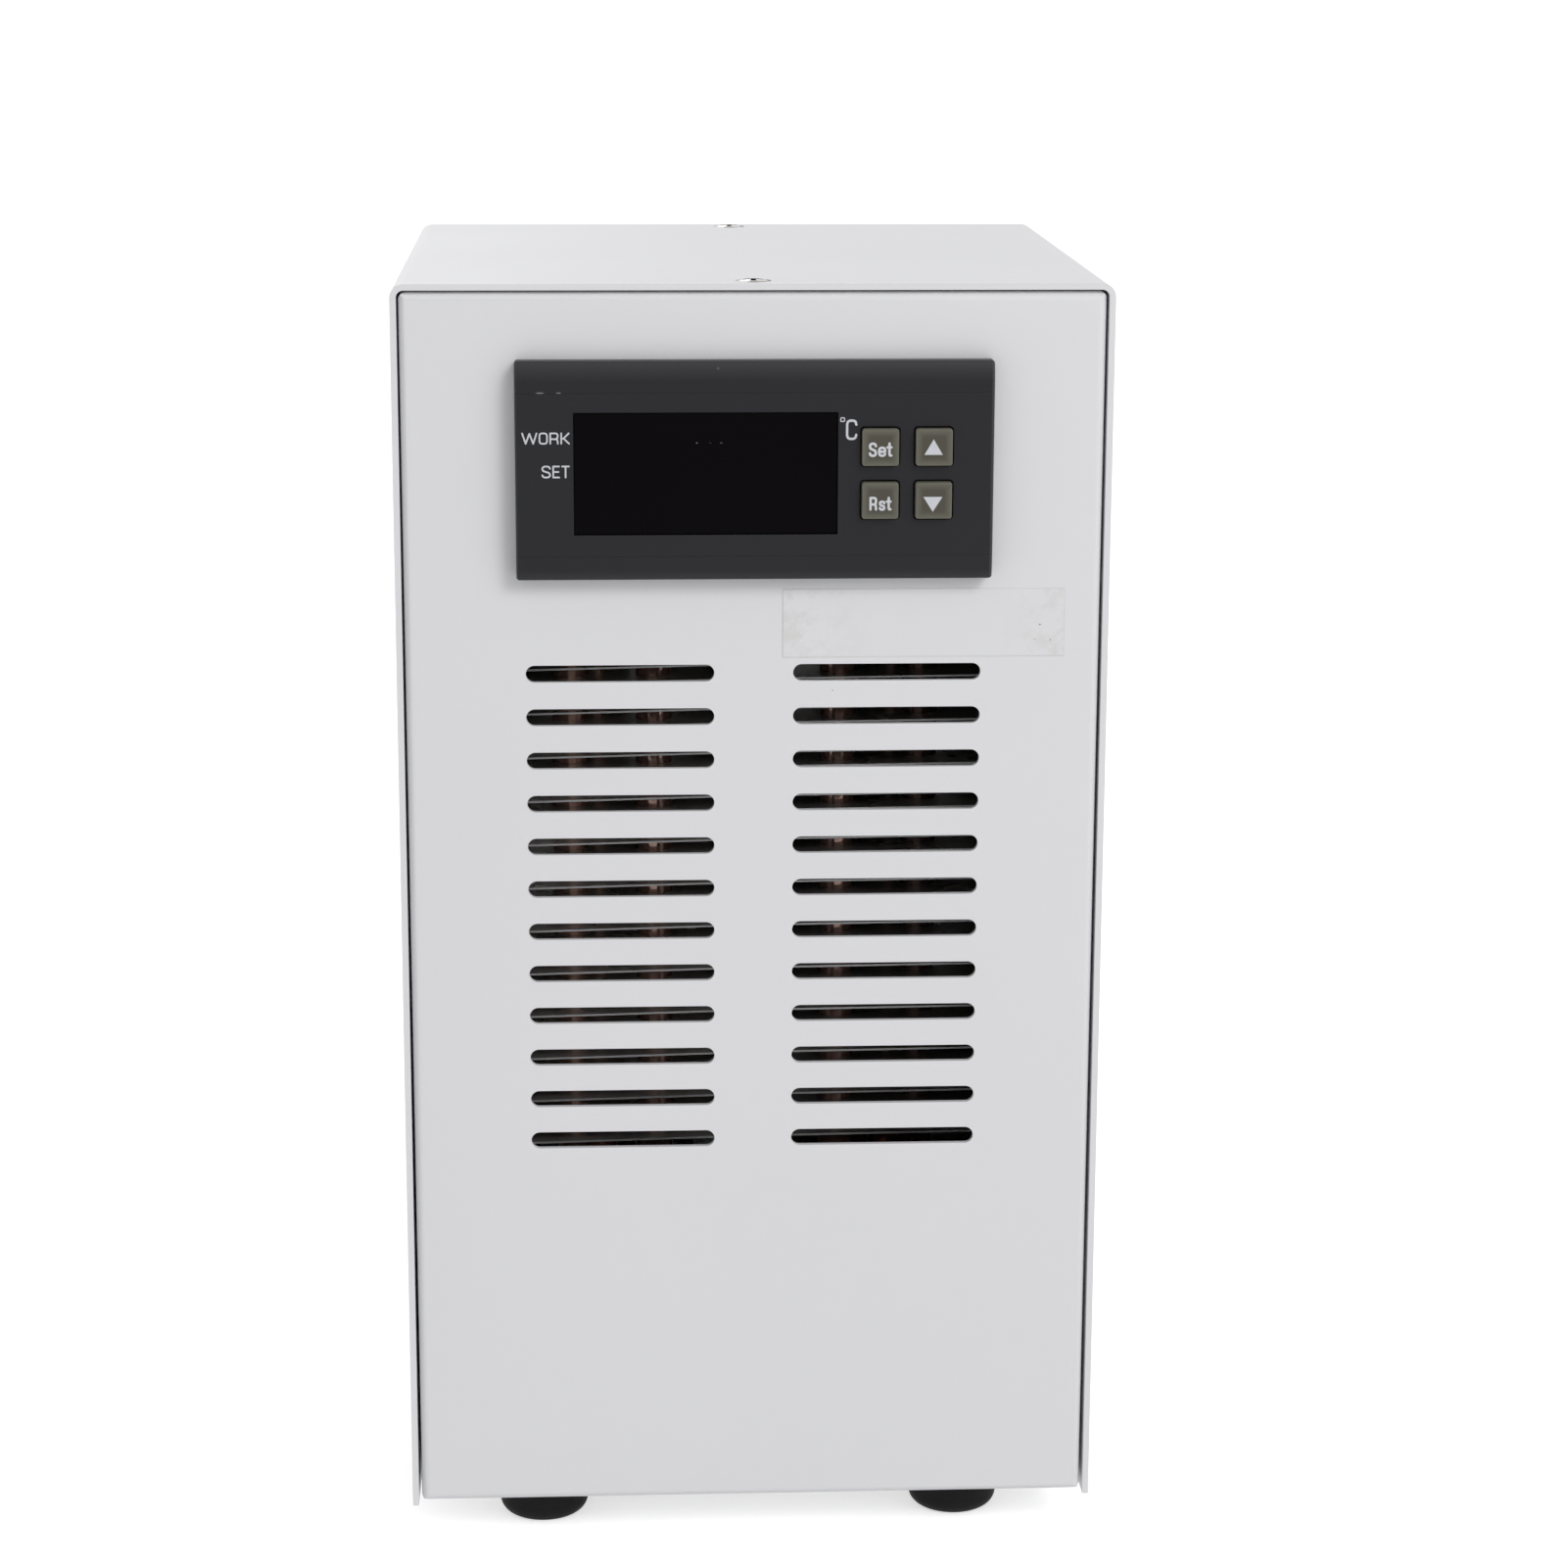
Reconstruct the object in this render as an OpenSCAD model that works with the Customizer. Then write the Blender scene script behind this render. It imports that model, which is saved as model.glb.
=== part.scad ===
// Small thermoelectric chiller for aquarium water, in a painted sheet-metal case.
// Millimetres, +Z up. The front panel faces -Y and the hoses leave at +Y.
// The origin is on the floor under the middle of the chiller's overall box.
// Pieces are drawn in the case's frame (x centred, y = 0 at the front panel's face,
// z = 0 at the underside of the case), and place() moves them to the origin.

/* [Case] */
// Width across the painted cover at its top
case_w = 113.4; // [111:0.1:140]
// Depth from the front panel's face to the rear panel's face
case_d = 111.5; // [108:0.1:150]
// Height from the underside of the case to the top of the cover
case_h = 203.3; // [200:0.1:250]
// Thickness of the cover's sheet
cover_t = 1; // [0.8:0.1:1.4]
// Thickness of the sheet of the two panels and the floor
panel_t = 1; // [0.8:0.1:1.4]
// Gap between the cover and the front panel
cover_gap = 0.3; // [0.25:0.05:0.8]
// Outside radius of the cover's two bends
cover_bend_r = 2.2; // [1.6:0.1:4]
// How far the foot of each cover leg springs out
cover_splay = 0.2; // [0.2:0.1:1]
// How far the cover's legs reach below the underside of the case
cover_drop = 0.6; // [0.2:0.1:3]
// Outside radius of the panels' folded edges
fold_r = 1.5; // [1.5:0.1:3]
// Radius of the panels' corners, seen from the front
panel_corner_r = 1.3; // [1:0.1:3]
// Depth of the panels' folded rims at the sides and the top
rim_d = 11; // [10:0.5:14]
// Depth of the panels' folded rims under the floor
floor_rim_d = 22; // [20:0.5:26]
// Height of the floor's upturned sides
floor_side_h = 18; // [16:0.5:30]

/* [Air slots] */
// Length of a slot
slot_len = 30; // [20:0.1:34]
// Height of a slot
slot_h = 2.75; // [2:0.05:4]
// Distance between the middles of neighbouring slots in a column
slot_pitch = 7.09; // [5:0.01:7.2]
// Slots in a column
slot_rows = 12; // [4:1:12]
// Distance from the panel's middle to the middle of a column
slot_x = 21.3; // [19:0.1:30]
// Distance from the cover's top down to the top slots
slot_drop = 61.8; // [58:0.1:70]

/* [Cover screws] */
// Diameter of a cover screw's shank
cover_screw_d = 2.5; // [2:0.1:3]
// Diameter of a cover screw's raised countersunk head
cover_screw_head_d = 5.2; // [4.5:0.1:6]
// Height of the shallow dome on a cover screw's head
cover_screw_rise = 0.45; // [0.2:0.05:1]
// Length of a cover screw
cover_screw_len = 7; // [5:0.5:9]
// Distance of a top screw from the nearer end of the cover
top_screw_inset = 5; // [4.5:0.1:7]
// Height of the side screws above the underside of the case
side_screw_z = 12; // [10:0.5:14]
// Distance of a side screw from the nearer end of the cover
side_screw_inset = 32; // [28:0.5:38]
// Height of a press nut
press_nut_h = 2.6; // [2:0.1:3]
// Diameter of a press nut
press_nut_d = 5.6; // [4.5:0.1:6]

/* [Feet] */
// Diameter of a rubber foot
foot_d = 15; // [12:0.1:16]
// Height of a rubber foot
foot_h = 7.5; // [6:0.1:14]
// Radius of a foot's lower edge
foot_edge_r = 2.4; // [0.5:0.1:3]
// Distance of a foot's middle from the nearer side of the case
foot_side = 21.6; // [16:0.1:28]
// Distance of a foot's middle from the nearer panel's face
foot_inset = 14; // [11:0.1:14]
// Diameter of the foot screws
foot_screw_d = 3; // [2.5:0.1:4]
// Length of a foot screw's shank
foot_screw_len = 9; // [8.5:0.5:12]

/* [Controller] */
// Width of the controller's bezel
bezel_w = 75; // [75:0.1:78]
// Height of the controller's bezel
bezel_h = 34.5; // [34:0.1:38]
// Thickness of the bezel in front of its gasket
bezel_t = 2.9; // [2.8:0.1:4]
// Thickness of the rubber gasket behind the bezel
gasket_t = 0.5; // [0.3:0.1:1]
// Distance from the cover's top down to the bezel's middle
bezel_drop = 28.9; // [24:0.1:32]
// How far the bezel laps over the panel beside the housing
bezel_lap = 2.2; // [2:0.1:3]
// Height of the controller's housing
housing_h = 28.6; // [28:0.1:29]
// Room for the leads between the terminal block and the rear panel
lead_room = 35; // [30:0.5:40]
// Wall of the controller's housing
housing_t = 1.4; // [1:0.1:2]
// Clearance all round between the housing and the panel's cut-out
cutout_clear = 0.2; // [0.1:0.05:0.4]
// Distance from the housing's inner side to the display window's left side
window_side = 5.6; // [5:0.1:7]
// Distance from the display window's right side to the keys
window_gap = 3.825; // [3:0.005:6]
// Height of the display window
window_h = 19.1; // [16:0.1:20]
// Thickness of the display window
window_t = 1; // [0.8:0.1:1.1]

/* [Keys] */
// Width and height of a key's cap
key_w = 5.75; // [5:0.05:6]
// Distance between the middles of neighbouring keys
key_pitch = 8.42; // [8.2:0.01:9]
// Distance of the right keys' middle from the housing's inner side
key_side = 5.88; // [5:0.01:6.5]
// Distance that the keys' middle lies below the bezel's middle
key_drop = 0.4; // [0:0.1:1]
// Height of a key above the bezel's face
key_proud = 1.2; // [1:0.1:2]
// Travel of a key
key_travel = 0.6; // [0.3:0.1:0.8]
// Gap round a key in the bezel
key_clear = 0.3; // [0.1:0.05:0.3]

/* [Cold side] */
// Width and depth of the water block
block_w = 42; // [40:0.5:44]
// Height of the water block with its lid
block_h = 13.5; // [13:0.5:16]
// Thickness of the foam pad under the water block
pad_t = 5; // [4:0.5:5]
// Thickness of the foam collar round the water block
collar_t = 4.2; // [4:0.1:5]
// Distance of the cold stack's middle behind the fins' front edges
stack_back = 21.65; // [21:0.05:23]
// Width and depth of the thermoelectric module
module_w = 40; // [30:1:40]
// Thickness of the thermoelectric module
module_t = 3.8; // [3.2:0.1:4.6]
// Bore of the inner hoses
hose_bore_d = 8.8; // [8:0.1:9.4]
// Wall of the inner hoses
hose_wall = 2; // [1.5:0.1:2.5]

/* [Hot side] */
// Width of the hot plate
plate_w = 66; // [66:0.5:72]
// Depth of the hot plate
plate_d = 48; // [46:0.5:50]
// Thickness of the hot plate
plate_t = 5; // [4:0.5:7]
// Width of the block that holds the heat pipes
pipe_block_w = 16; // [14:0.5:16]
// Diameter of a heat pipe
pipe_d = 6; // [5:0.1:6]
// Radius of a heat pipe's bends, at its middle
pipe_bend_r = 7.5; // [7:0.1:7.5]
// Room between a fin and the side of the case
fin_side = 10.7; // [9.7:0.1:16]
// Depth of a fin
fin_d = 50; // [46:0.5:54]
// Thickness of a fin
fin_t = 0.3; // [0.3:0.05:0.8]
// Distance between neighbouring fins
fin_pitch = 2.5; // [1.8:0.05:4]
// Share of the depth beside the fins and the fan that lies in front of the fins
front_room_share = 0.7; // [0.65:0.01:0.75]
// Height of the lowest fin above the underside of the case
fin_z = 54.5; // [54.5:0.1:56]
// Clear height between the uppermost fin and the controller
fin_headroom = 15.5; // [12:0.5:30]

/* [Fan] */
// Room between the fan's frame and the side of the case
fan_side = 10.7; // [10.7:0.1:12]
// Depth of the fan's frame
fan_d = 25; // [25:0.5:27]
// Distance of a fan screw from the two nearer edges of the fan's frame
fan_hole_inset = 4.75; // [4.7:0.05:5.5]
// Least distance from the fan's air passage to the edge of its frame
fan_passage_inset = 1.8; // [1.6:0.1:3]
// Gap between the blade tips and the air passage
blade_gap = 1.2; // [1:0.1:3]
// Diameter of the rotor's hub
hub_d = 38; // [36:0.5:42]
// Number of blades
blades = 7; // [5:1:9]
// Diameter of the rotor's shaft
shaft_d = 3; // [2.5:0.1:3.5]
// Running clearance between the shaft and its bearing, on the radius
bearing_clear = 0.03; // [0.02:0.01:0.06]
// Diameter of the guard's wire
guard_wire_d = 1.8; // [1.4:0.1:2.2]
// Rings of the guard
guard_rings = 4; // [3:1:5]
// Distance from the guard's largest ring to the edge of the fan's frame
guard_inset = 3; // [2:0.5:5]

/* [Hose tails] */
// Diameter of a hose tail's plain land
tail_d = 10; // [9:0.1:11]
// Length of a hose tail's plain land
tail_land = 12.5; // [10:0.5:16]
// Length of a hose tail's barbed end
tail_barbed = 11; // [8:0.5:14]
// Diameter of the water way through a hose tail
tail_bore_d = 6; // [5:0.1:6.4]
// Distance of a hose tail and its water port from the case's middle plane
tail_x = 14; // [13:0.5:14.5]

/* [Inlet jack] */
// Distance of the jack from the nearer side of the case
jack_side = 14.7; // [13.7:0.1:18]
// Height of the jack above the underside of the case
jack_z = 28; // [26:0.5:34]
// Bore of the jack
jack_bore_d = 5.6; // [5.5:0.1:6.4]
// Diameter of the jack's centre pin
jack_pin_d = 2.5; // [2:0.1:2.5]

/* [Hidden] */

$fn = 48;
over = 1;

PAINT = "whitesmoke";
DARK = "#3c3f44";
BLACK = "#1c1c1e";
RUBBER = "#26262a";
KEYCAP = "#6b685c";
STEEL = "silver";
BRASS = "#c9a24b";
COPPER = "#c0744c";
ALUMINIUM = "#c8ccd0";
FOAM = "#4a4a4c";
BOARD = "#2f6b3c";
CERAMIC = "#ecebe4";
SILICONE = "#dfe3e2";

// Case, derived
cover_in_x = case_w / 2 - cover_t;
panel_w = 2 * (cover_in_x - cover_gap);
panel_h = case_h - cover_t - cover_gap;
rim_in_x = panel_w / 2 - panel_t;
floor_z = 2 * panel_t;
floor_clear = 0.2;
leg_bend_z = case_h - cover_bend_r;
free_d = case_d - panel_t - fan_d - fin_d;
fin_y = free_d * front_room_share;

// Cover screws: raised head in a countersink, whose dome stands a little proud of the sheet
screw_sink = 0.1;
sink_clear = 0.25;
screw_clear = 0.1;
cover_head_h = (cover_screw_head_d - cover_screw_d) / 2;
recess_w = 0.8;
recess_depth_share = 0.6;
recess_len_share = 0.62;

// Feet and their screws
foot_x = case_w / 2 - foot_side;
foot_bore_d = 8;
foot_seat_t = 3;
foot_head_d = 6;
foot_head_h = 2;
foot_nut_d = 6.4;
foot_nut_h = 2.4;

// Controller: the bezel stands on the gasket, the housing passes the panel
bezel_z = case_h - bezel_drop;
bezel_front_y = -gasket_t - bezel_t;
bezel_edge_r = 0.5;
bezel_slope_top = 5;
bezel_slope_low = 3.8;
bezel_slope_back = 0.75;
// Curve of the upper and lower strips: share of the strip's width, share of its fall
bezel_curve_shares = [[0, 0], [0.4, 0.16], [0.76, 0.46], [1, 1]];
bezel_plate_t = 2;
bezel_plate_y = bezel_front_y + bezel_plate_t;
bezel_room_side = 1;
bezel_room_top = 0.5;
housing_w = bezel_w - 2 * bezel_lap;
housing_in_w = housing_w - 2 * housing_t;
housing_in_h = housing_h - 2 * housing_t;
bezel_room_w = housing_in_w - 2 * bezel_room_side;
bezel_room_h = housing_in_h - 2 * bezel_room_top;
gasket_rim = 0.5;
window_sink = 0.25;
window_lip = 0.8;
window_clear = 0.1;
window_back_y = bezel_front_y + window_sink + window_t;
key_x = housing_in_w / 2 - key_side - key_pitch;
window_w = housing_in_w / 2 + key_x - key_w / 2 - window_gap - window_side;
window_left = housing_in_w / 2 - window_side - window_w / 2;
board_clear = 0.2;
board_t = 1.6;
clip_w = 3.5;
clip_len = 13;
clip_h = 9;
clip_thumb = 2;

// Keys: cap, flange behind the bezel's plate, stem in the switch
key_gap = 0.15;
key_flange_over = 0.8;
key_flange_t = 0.8;
key_edge_r = 0.4;
key_flange_y = bezel_plate_y + key_gap;
key_switch_y = key_flange_y + key_flange_t + key_travel + board_clear;
key_stem_d = 3;
key_stem_len = 2;
switch_w = 6;
switch_d = 3.5;
switch_bore_clear = 0.1;
switch_bore_d = key_stem_d + 2 * switch_bore_clear;
switch_bore_depth = key_stem_len - board_clear + switch_bore_clear;
board_y = key_switch_y + switch_d;
key_cells = [[0, 0.5], [1, 0.5], [0, -0.5], [1, -0.5]];

// Terminal block at the housing's rear end
terminal_count = 8;
terminal_cap_t = 2;
terminal_side = 3.3;
terminal_top = 5.8;
terminal_edge = 1.6;
terminal_w = housing_w - 2 * terminal_side;
terminal_h = housing_h - 2 * terminal_top;
terminal_d = 12;
terminal_pitch = (terminal_w - 2 * terminal_edge) / terminal_count;
terminal_entry_d = 3.8;
terminal_entry_depth = 6;
terminal_entry_drop = 4;
terminal_screw_d = 4.4;
terminal_screw_t = 1.6;
terminal_screw_sink = 0.6;
terminal_rise = 3.6;
terminal_end_y = case_d - panel_t - lead_room;
housing_end_y = terminal_end_y - terminal_d - terminal_cap_t;
terminal_entry_z = bezel_z - terminal_entry_drop;

// Cold stack, from the floor up
stack_y = fin_y + stack_back;
block_z = floor_z + pad_t;
module_z = block_z + block_h;
plate_z = module_z + module_t;
plate_top = plate_z + plate_t;
block_lid_t = 2.5;
block_wall = 4;
block_roof = 3;
port_d = 5;
port_z = block_z + block_lid_t + (block_h - block_lid_t - block_roof) / 2;
tail_z = port_z;
rib_t = 2;
rib_gap = 9;
barb_len = 9;
barb_bore_d = 5;
barb_neck = 0.4;
barb_pitch = 2.5;
hose_clear = 0.05;
pad_over = 4.2;
probe_d = 4;
probe_len = 20;
probe_clear = 0.1;

// Hot side: pipes leave their block sideways, fan out and rise through the fins
pipe_block_h = 12;
pipe_block_d = 41;
pipe_z = plate_top + pipe_block_h / 2;
pipe_block_y = fin_y + 2;
pipe_fit = 0.02;
fin_w = case_w - 2 * fin_side;
fin_top_z = bezel_z - housing_h / 2 - fin_headroom;
fin_count = floor((fin_top_z - fin_z) / fin_pitch) + 1;
pipe_end_over = 2.2;
pipe_end_z = fin_z + (fin_count - 1) * fin_pitch + fin_t + pipe_end_over;
// Each pipe: its uprights' distance from the middle plane, its row in the block and how far
// its uprights jog forward of that row, measured from the fins' front edges
pipe_row_pitch = pipe_d + 0.5;
pipe_jog = 4.5;
jog_slope_share = 4 / 3;
jog_ease_share = 1 / 3;
front_row = pipe_d;
front_pipe = [pipe_block_w / 2 + pipe_bend_r, front_row, 0];
outer_pipe = [29.5, front_row + pipe_row_pitch, pipe_jog];
middle_pipe = [25, front_row + 2 * pipe_row_pitch, pipe_jog];
rear_pipe = [22, front_row + 5 * pipe_row_pitch, 0];
heat_pipes = [front_pipe, outer_pipe, middle_pipe, rear_pipe];

// Standoffs and clamp screws at the hot plate's corners
standoff_d = 6;
standoff_inset = 5.6;
standoff_gap = 0.4;
standoff_x = block_w / 2 + collar_t + standoff_gap + standoff_d / 2;
standoff_y = plate_d / 2 - standoff_inset;
standoff_spigot_d = 4;
clamp_screw_d = 3;
clamp_screw_len = 11;
clamp_head_d = 5.6;
clamp_head_h = 2;

// Fan, behind the fins and against the rear panel
fan_w = case_w - 2 * fan_side;
fan_hole_pitch = fan_w - 2 * fan_hole_inset;
fan_bore_d = fan_w - 2 * fan_passage_inset;
blade_tip_d = fan_bore_d - 2 * blade_gap;
guard_d = fan_w - 2 * guard_inset;
fan_y = case_d - panel_t - fan_d;
fan_z = (fin_z + pipe_end_z) / 2;
fan_flange_t = 4;
fan_corner_r = 4;
fan_barrel_inset = 0.5;
fan_barrel_d = fan_w - 2 * fan_barrel_inset;
fan_hole_d = 4.3;
fan_back_y = fan_y + fan_d;
motor_plate_d = 36;
motor_plate_t = 2.5;
motor_plate_inset = 0.5;
motor_plate_y = fan_back_y - motor_plate_inset - motor_plate_t;
strut_w = 3;
bearing_d = 6;
bearing_len = 12;
bearing_tube_t = 1.2;
tube_len = 12.5;
tube_y = motor_plate_y - tube_len;
stator_d = 29;
stator_len = 9;
stator_slot_w = 3;
stator_core_d = 14;
hub_inset = 1.5;
hub_y = fan_y + hub_inset;
hub_gap = 0.6;
hub_len = motor_plate_y - hub_gap - hub_y;
hub_wall = 2.2;
hub_roof = 2;
boss_d = 6.4;
boss_gap = 0.5;
boss_len = tube_y - boss_gap - hub_y;
shaft_end_gap = 1;
shaft_len = motor_plate_y - shaft_end_gap - hub_y - hub_roof / 2;
blade_t = 1.6;
blade_chord_w = 17;
blade_axial = 15;
blade_inset = 3;
blade_bow_r = 28;
blade_angle = 43;
guard_hub_d = 24;
guard_eye_d = 6.4;
guard_weld = 0.3;
fan_screw_d = 4;
fan_screw_len = 11;
fan_head_d = 8;
fan_head_h = 2.6;

// Hose tails
tail_hex_w = 17;
tail_hex_t = 5;
tail_seal_t = 1;
tail_shank_d = 12;
tail_nut_w = 17;
tail_nut_t = 5;
tail_barb_cut = 0.5;
tail_barb_ease = 0.35;
tail_barb_pitch = 3;
tail_neck_len = 11;
tail_out = tail_seal_t + tail_hex_t + tail_land + tail_barbed;
tail_inner_gap = 0.5;
tail_inner_y = case_d - panel_t - tail_nut_t - tail_inner_gap - tail_neck_len;

// Inlet jack
jack_x = case_w / 2 - jack_side;
jack_flange_d = 14;
jack_flange_t = 1.5;
jack_body_d = 11;
jack_body_len = 12;
jack_depth = 9;
jack_nut_w = 14;
jack_nut_t = 2.5;
jack_tag_t = 1;

// Wires: runs beside the fins and the fan, kept clear of both
wire_d = 2.2;
wire_bend_r = 2.5;
side_run_x = max(fin_w, fan_w) / 2 + 3.4;
outer_run_x = side_run_x + 2.7;
wire_high_z = terminal_entry_z;
wire_low_z = (pipe_end_z + wire_high_z) / 2 + 1;
wire_tuck = 3;
fan_lead_z = fan_z + fan_w / 3;

// Blank label
label_w = 45.1;
label_h = 11;
label_t = 0.1;
label_x = 27.15;
label_drop = 53.8;

// Overall box, for the origin
front_out = -bezel_front_y + key_proud;
mid_y = (case_d + tail_out - front_out) / 2;

// Moves the case's frame to the origin
module place() {
    translate([0, -mid_y, foot_h]) children();
}

// Outline in x and z, drawn from y0 to y1
module along_y(y0, y1) {
    translate([0, y1, 0]) rotate([90, 0, 0]) linear_extrude(y1 - y0) children();
}

// Outline in y and z, drawn from x0 to x1
module along_x(x0, x1) {
    translate([x0, 0, 0]) rotate([90, 0, 90]) linear_extrude(x1 - x0) children();
}

// Round bar along y
module rod_y(d, y0, y1) {
    translate([0, y0, 0]) rotate([-90, 0, 0]) cylinder(d = d, h = y1 - y0);
}

// Box from one corner to the opposite one
module box(a, b) {
    translate(a) cube(b - a);
}

module rounded_rect(w, h, r) {
    square([w - 2 * r, h], center = true);
    square([w, h - 2 * r], center = true);
    for (sx = [-1, 1], sy = [-1, 1])
        translate([sx * (w / 2 - r), sy * (h / 2 - r)]) circle(r);
}

// Rectangle from x = 0 to x = d, centred on y, with its corners at x = 0 rounded
module nosed_rect(d, h, r) {
    translate([r, -h / 2]) square([d - r, h]);
    translate([0, -h / 2 + r]) square([r, h - 2 * r]);
    for (s = [-1, 1]) translate([r, s * (h / 2 - r)]) circle(r);
}

module slot_shape(l, h) {
    square([l - h, h], center = true);
    for (s = [-1, 1]) translate([s * (l - h) / 2, 0]) circle(d = h);
}

// Hexagon across flats w
module hexagon(w) {
    circle(d = w / cos(30), $fn = 6);
}

// Cross slot sunk into a screw's head, whose top is at z = 0
module cross_recess(l, w, depth) {
    for (a = [0, 90])
        rotate([0, 0, a]) translate([-l / 2, -w / 2, -depth]) cube([l, w, depth + over]);
}

// Screw with a raised countersunk head, its rim at z = 0, pointing down
module raised_screw(d, l, head_d, rise) {
    head_h = (head_d - d) / 2;
    dome_r = (head_d * head_d / 4 + rise * rise) / (2 * rise);
    difference() {
        union() {
            intersection() {
                cylinder(d = head_d, h = rise);
                translate([0, 0, rise - dome_r]) sphere(dome_r);
            }
            translate([0, 0, -head_h]) cylinder(d1 = d, d2 = head_d, h = head_h);
            translate([0, 0, -l]) cylinder(d = d, h = l - head_h);
        }
        translate([0, 0, rise])
            cross_recess(head_d * recess_len_share, recess_w, head_h * recess_depth_share + rise);
    }
}

// Screw with a domed head that rests on z = 0, pointing down
module pan_screw(d, l, head_d, head_h) {
    dome_r = (head_d * head_d / 4 + head_h * head_h) / (2 * head_h);
    difference() {
        union() {
            intersection() {
                cylinder(d = head_d, h = head_h);
                translate([0, 0, head_h - dome_r]) sphere(dome_r);
            }
            translate([0, 0, -l]) cylinder(d = d, h = l);
        }
        translate([0, 0, head_h])
            cross_recess(head_d * recess_len_share, recess_w, head_h * recess_depth_share);
    }
}

// Round bar of diameter d along points, each corner bent to radius bend_r
function unit(v) = v / norm(v);
function turn(a, b) = acos(max(-1, min(1, a * b)));
function ease(pts, i, bend_r) =
    i <= 0 || i >= len(pts) - 1 ? 0
    : bend_r * tan(turn(unit(pts[i] - pts[i - 1]), unit(pts[i + 1] - pts[i])) / 2);

module bent_bar(pts, d, bend_r) {
    last = len(pts) - 1;
    for (i = [0 : last - 1]) {
        u = unit(pts[i + 1] - pts[i]);
        a = pts[i] + u * ease(pts, i, bend_r);
        b = pts[i + 1] - u * ease(pts, i + 1, bend_r);
        translate(a) aim(u) cylinder(d = d, h = norm(b - a));
    }
    for (i = [1 : last - 1]) {
        u = unit(pts[i] - pts[i - 1]);
        v = unit(pts[i + 1] - pts[i]);
        side = unit(v - u * (u * v));
        axis = cross(u, side);
        centre = pts[i] - u * ease(pts, i, bend_r) + side * bend_r;
        multmatrix([
            [-side[0], u[0], axis[0], centre[0]],
            [-side[1], u[1], axis[1], centre[1]],
            [-side[2], u[2], axis[2], centre[2]],
            [0, 0, 0, 1]
        ]) rotate_extrude(angle = turn(u, v)) translate([bend_r, 0]) circle(d = d);
    }
}

// Turns +Z to the unit vector u
module aim(u) {
    rotate([0, acos(u[2]), atan2(u[1], u[0])]) children();
}

// Painted pan: a face with folded rims, the face at y = 0 and its middle at z = h / 2
module pan(w, h) {
    difference() {
        pan_block(w, h, rim_d, fold_r, panel_corner_r);
        translate([0, panel_t, 0])
            pan_block(w - 2 * panel_t, h - 2 * panel_t, rim_d, fold_r - panel_t,
                max(panel_corner_r - panel_t, panel_t / 10));
    }
    box([-w / 2 + fold_r, rim_d - over, -h / 2], [w / 2 - fold_r, floor_rim_d, -h / 2 + panel_t]);
}

module pan_block(w, h, d, edge_r, corner_r) {
    intersection() {
        along_x(-w / 2 - over, w / 2 + over) nosed_rect(d, h, edge_r);
        translate([0, 0, -h / 2 - over]) rotate([0, 0, 90]) mirror([0, 1, 0])
            linear_extrude(h + 2 * over) nosed_rect(d, w, edge_r);
        along_y(-over, d + over) rounded_rect(w, h, corner_r);
    }
}

module slots() {
    for (s = [-1, 1], i = [0 : slot_rows - 1])
        translate([s * slot_x, 0, case_h - slot_drop - i * slot_pitch])
            along_y(-over, panel_t + over) slot_shape(slot_len, slot_h);
}

module at_feet() {
    for (s = [-1, 1], y = [foot_inset, case_d - foot_inset]) translate([s * foot_x, y, 0]) children();
}

module at_top_screws() {
    for (y = [top_screw_inset, case_d - top_screw_inset])
        translate([0, y, case_h]) children();
}

// Outer face of a cover leg at height z, measured from the middle plane
function leg_x(z) = case_w / 2 + cover_splay * (leg_bend_z - z) / (leg_bend_z + cover_drop);

module at_side_screws() {
    for (s = [-1, 1], y = [side_screw_inset, case_d - side_screw_inset])
        translate([s * leg_x(side_screw_z), y, side_screw_z]) rotate([0, s * 90, 0]) children();
}

module countersink() {
    translate([0, 0, -cover_head_h - screw_sink])
        cylinder(d1 = cover_screw_d + 2 * sink_clear, d2 = cover_screw_head_d + 2 * sink_clear,
            h = cover_head_h);
    translate([0, 0, -screw_sink - over / 10])
        cylinder(d = cover_screw_head_d + 2 * sink_clear, h = screw_sink + over);
    translate([0, 0, -cover_t - over]) cylinder(d = cover_screw_d + 2 * screw_clear, h = cover_t + over);
}

// Solid outline of the cover: r is the bend's radius, inset the distance inside the outer face
module cover_outline(inset, low_z) {
    top_x = case_w / 2 - inset;
    foot_x_out = case_w / 2 + cover_splay - inset;
    r = cover_bend_r - inset;
    polygon([
        [-foot_x_out, low_z], [foot_x_out, low_z], [top_x, leg_bend_z], [top_x - r, leg_bend_z + r],
        [-top_x + r, leg_bend_z + r], [-top_x, leg_bend_z]
    ]);
    for (s = [-1, 1]) translate([s * (top_x - r), leg_bend_z]) circle(r);
}

module cover() color(PAINT) {
    difference() {
        along_y(0, case_d) difference() {
            cover_outline(0, -cover_drop);
            cover_outline(cover_t, -cover_drop - over);
        }
        at_top_screws() countersink();
        at_side_screws() countersink();
    }
}

module front_panel() color(PAINT) {
    difference() {
        translate([0, 0, panel_h / 2]) pan(panel_w, panel_h);
        slots();
        translate([0, 0, bezel_z]) along_y(-over, panel_t + over)
            square([housing_w + 2 * cutout_clear, housing_h + 2 * cutout_clear], center = true);
        panel_screw_holes();
    }
}

// Holes in the rims of both panels for the press nuts and the foot screws
module panel_screw_holes() {
    at_top_screws() translate([0, 0, -cover_t - cover_gap - panel_t - over])
        cylinder(d = cover_screw_d + 2 * screw_clear, h = panel_t + 2 * over);
    at_feet() translate([0, 0, -over])
        cylinder(d = foot_screw_d + 2 * screw_clear, h = floor_z + 2 * over);
}

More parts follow.
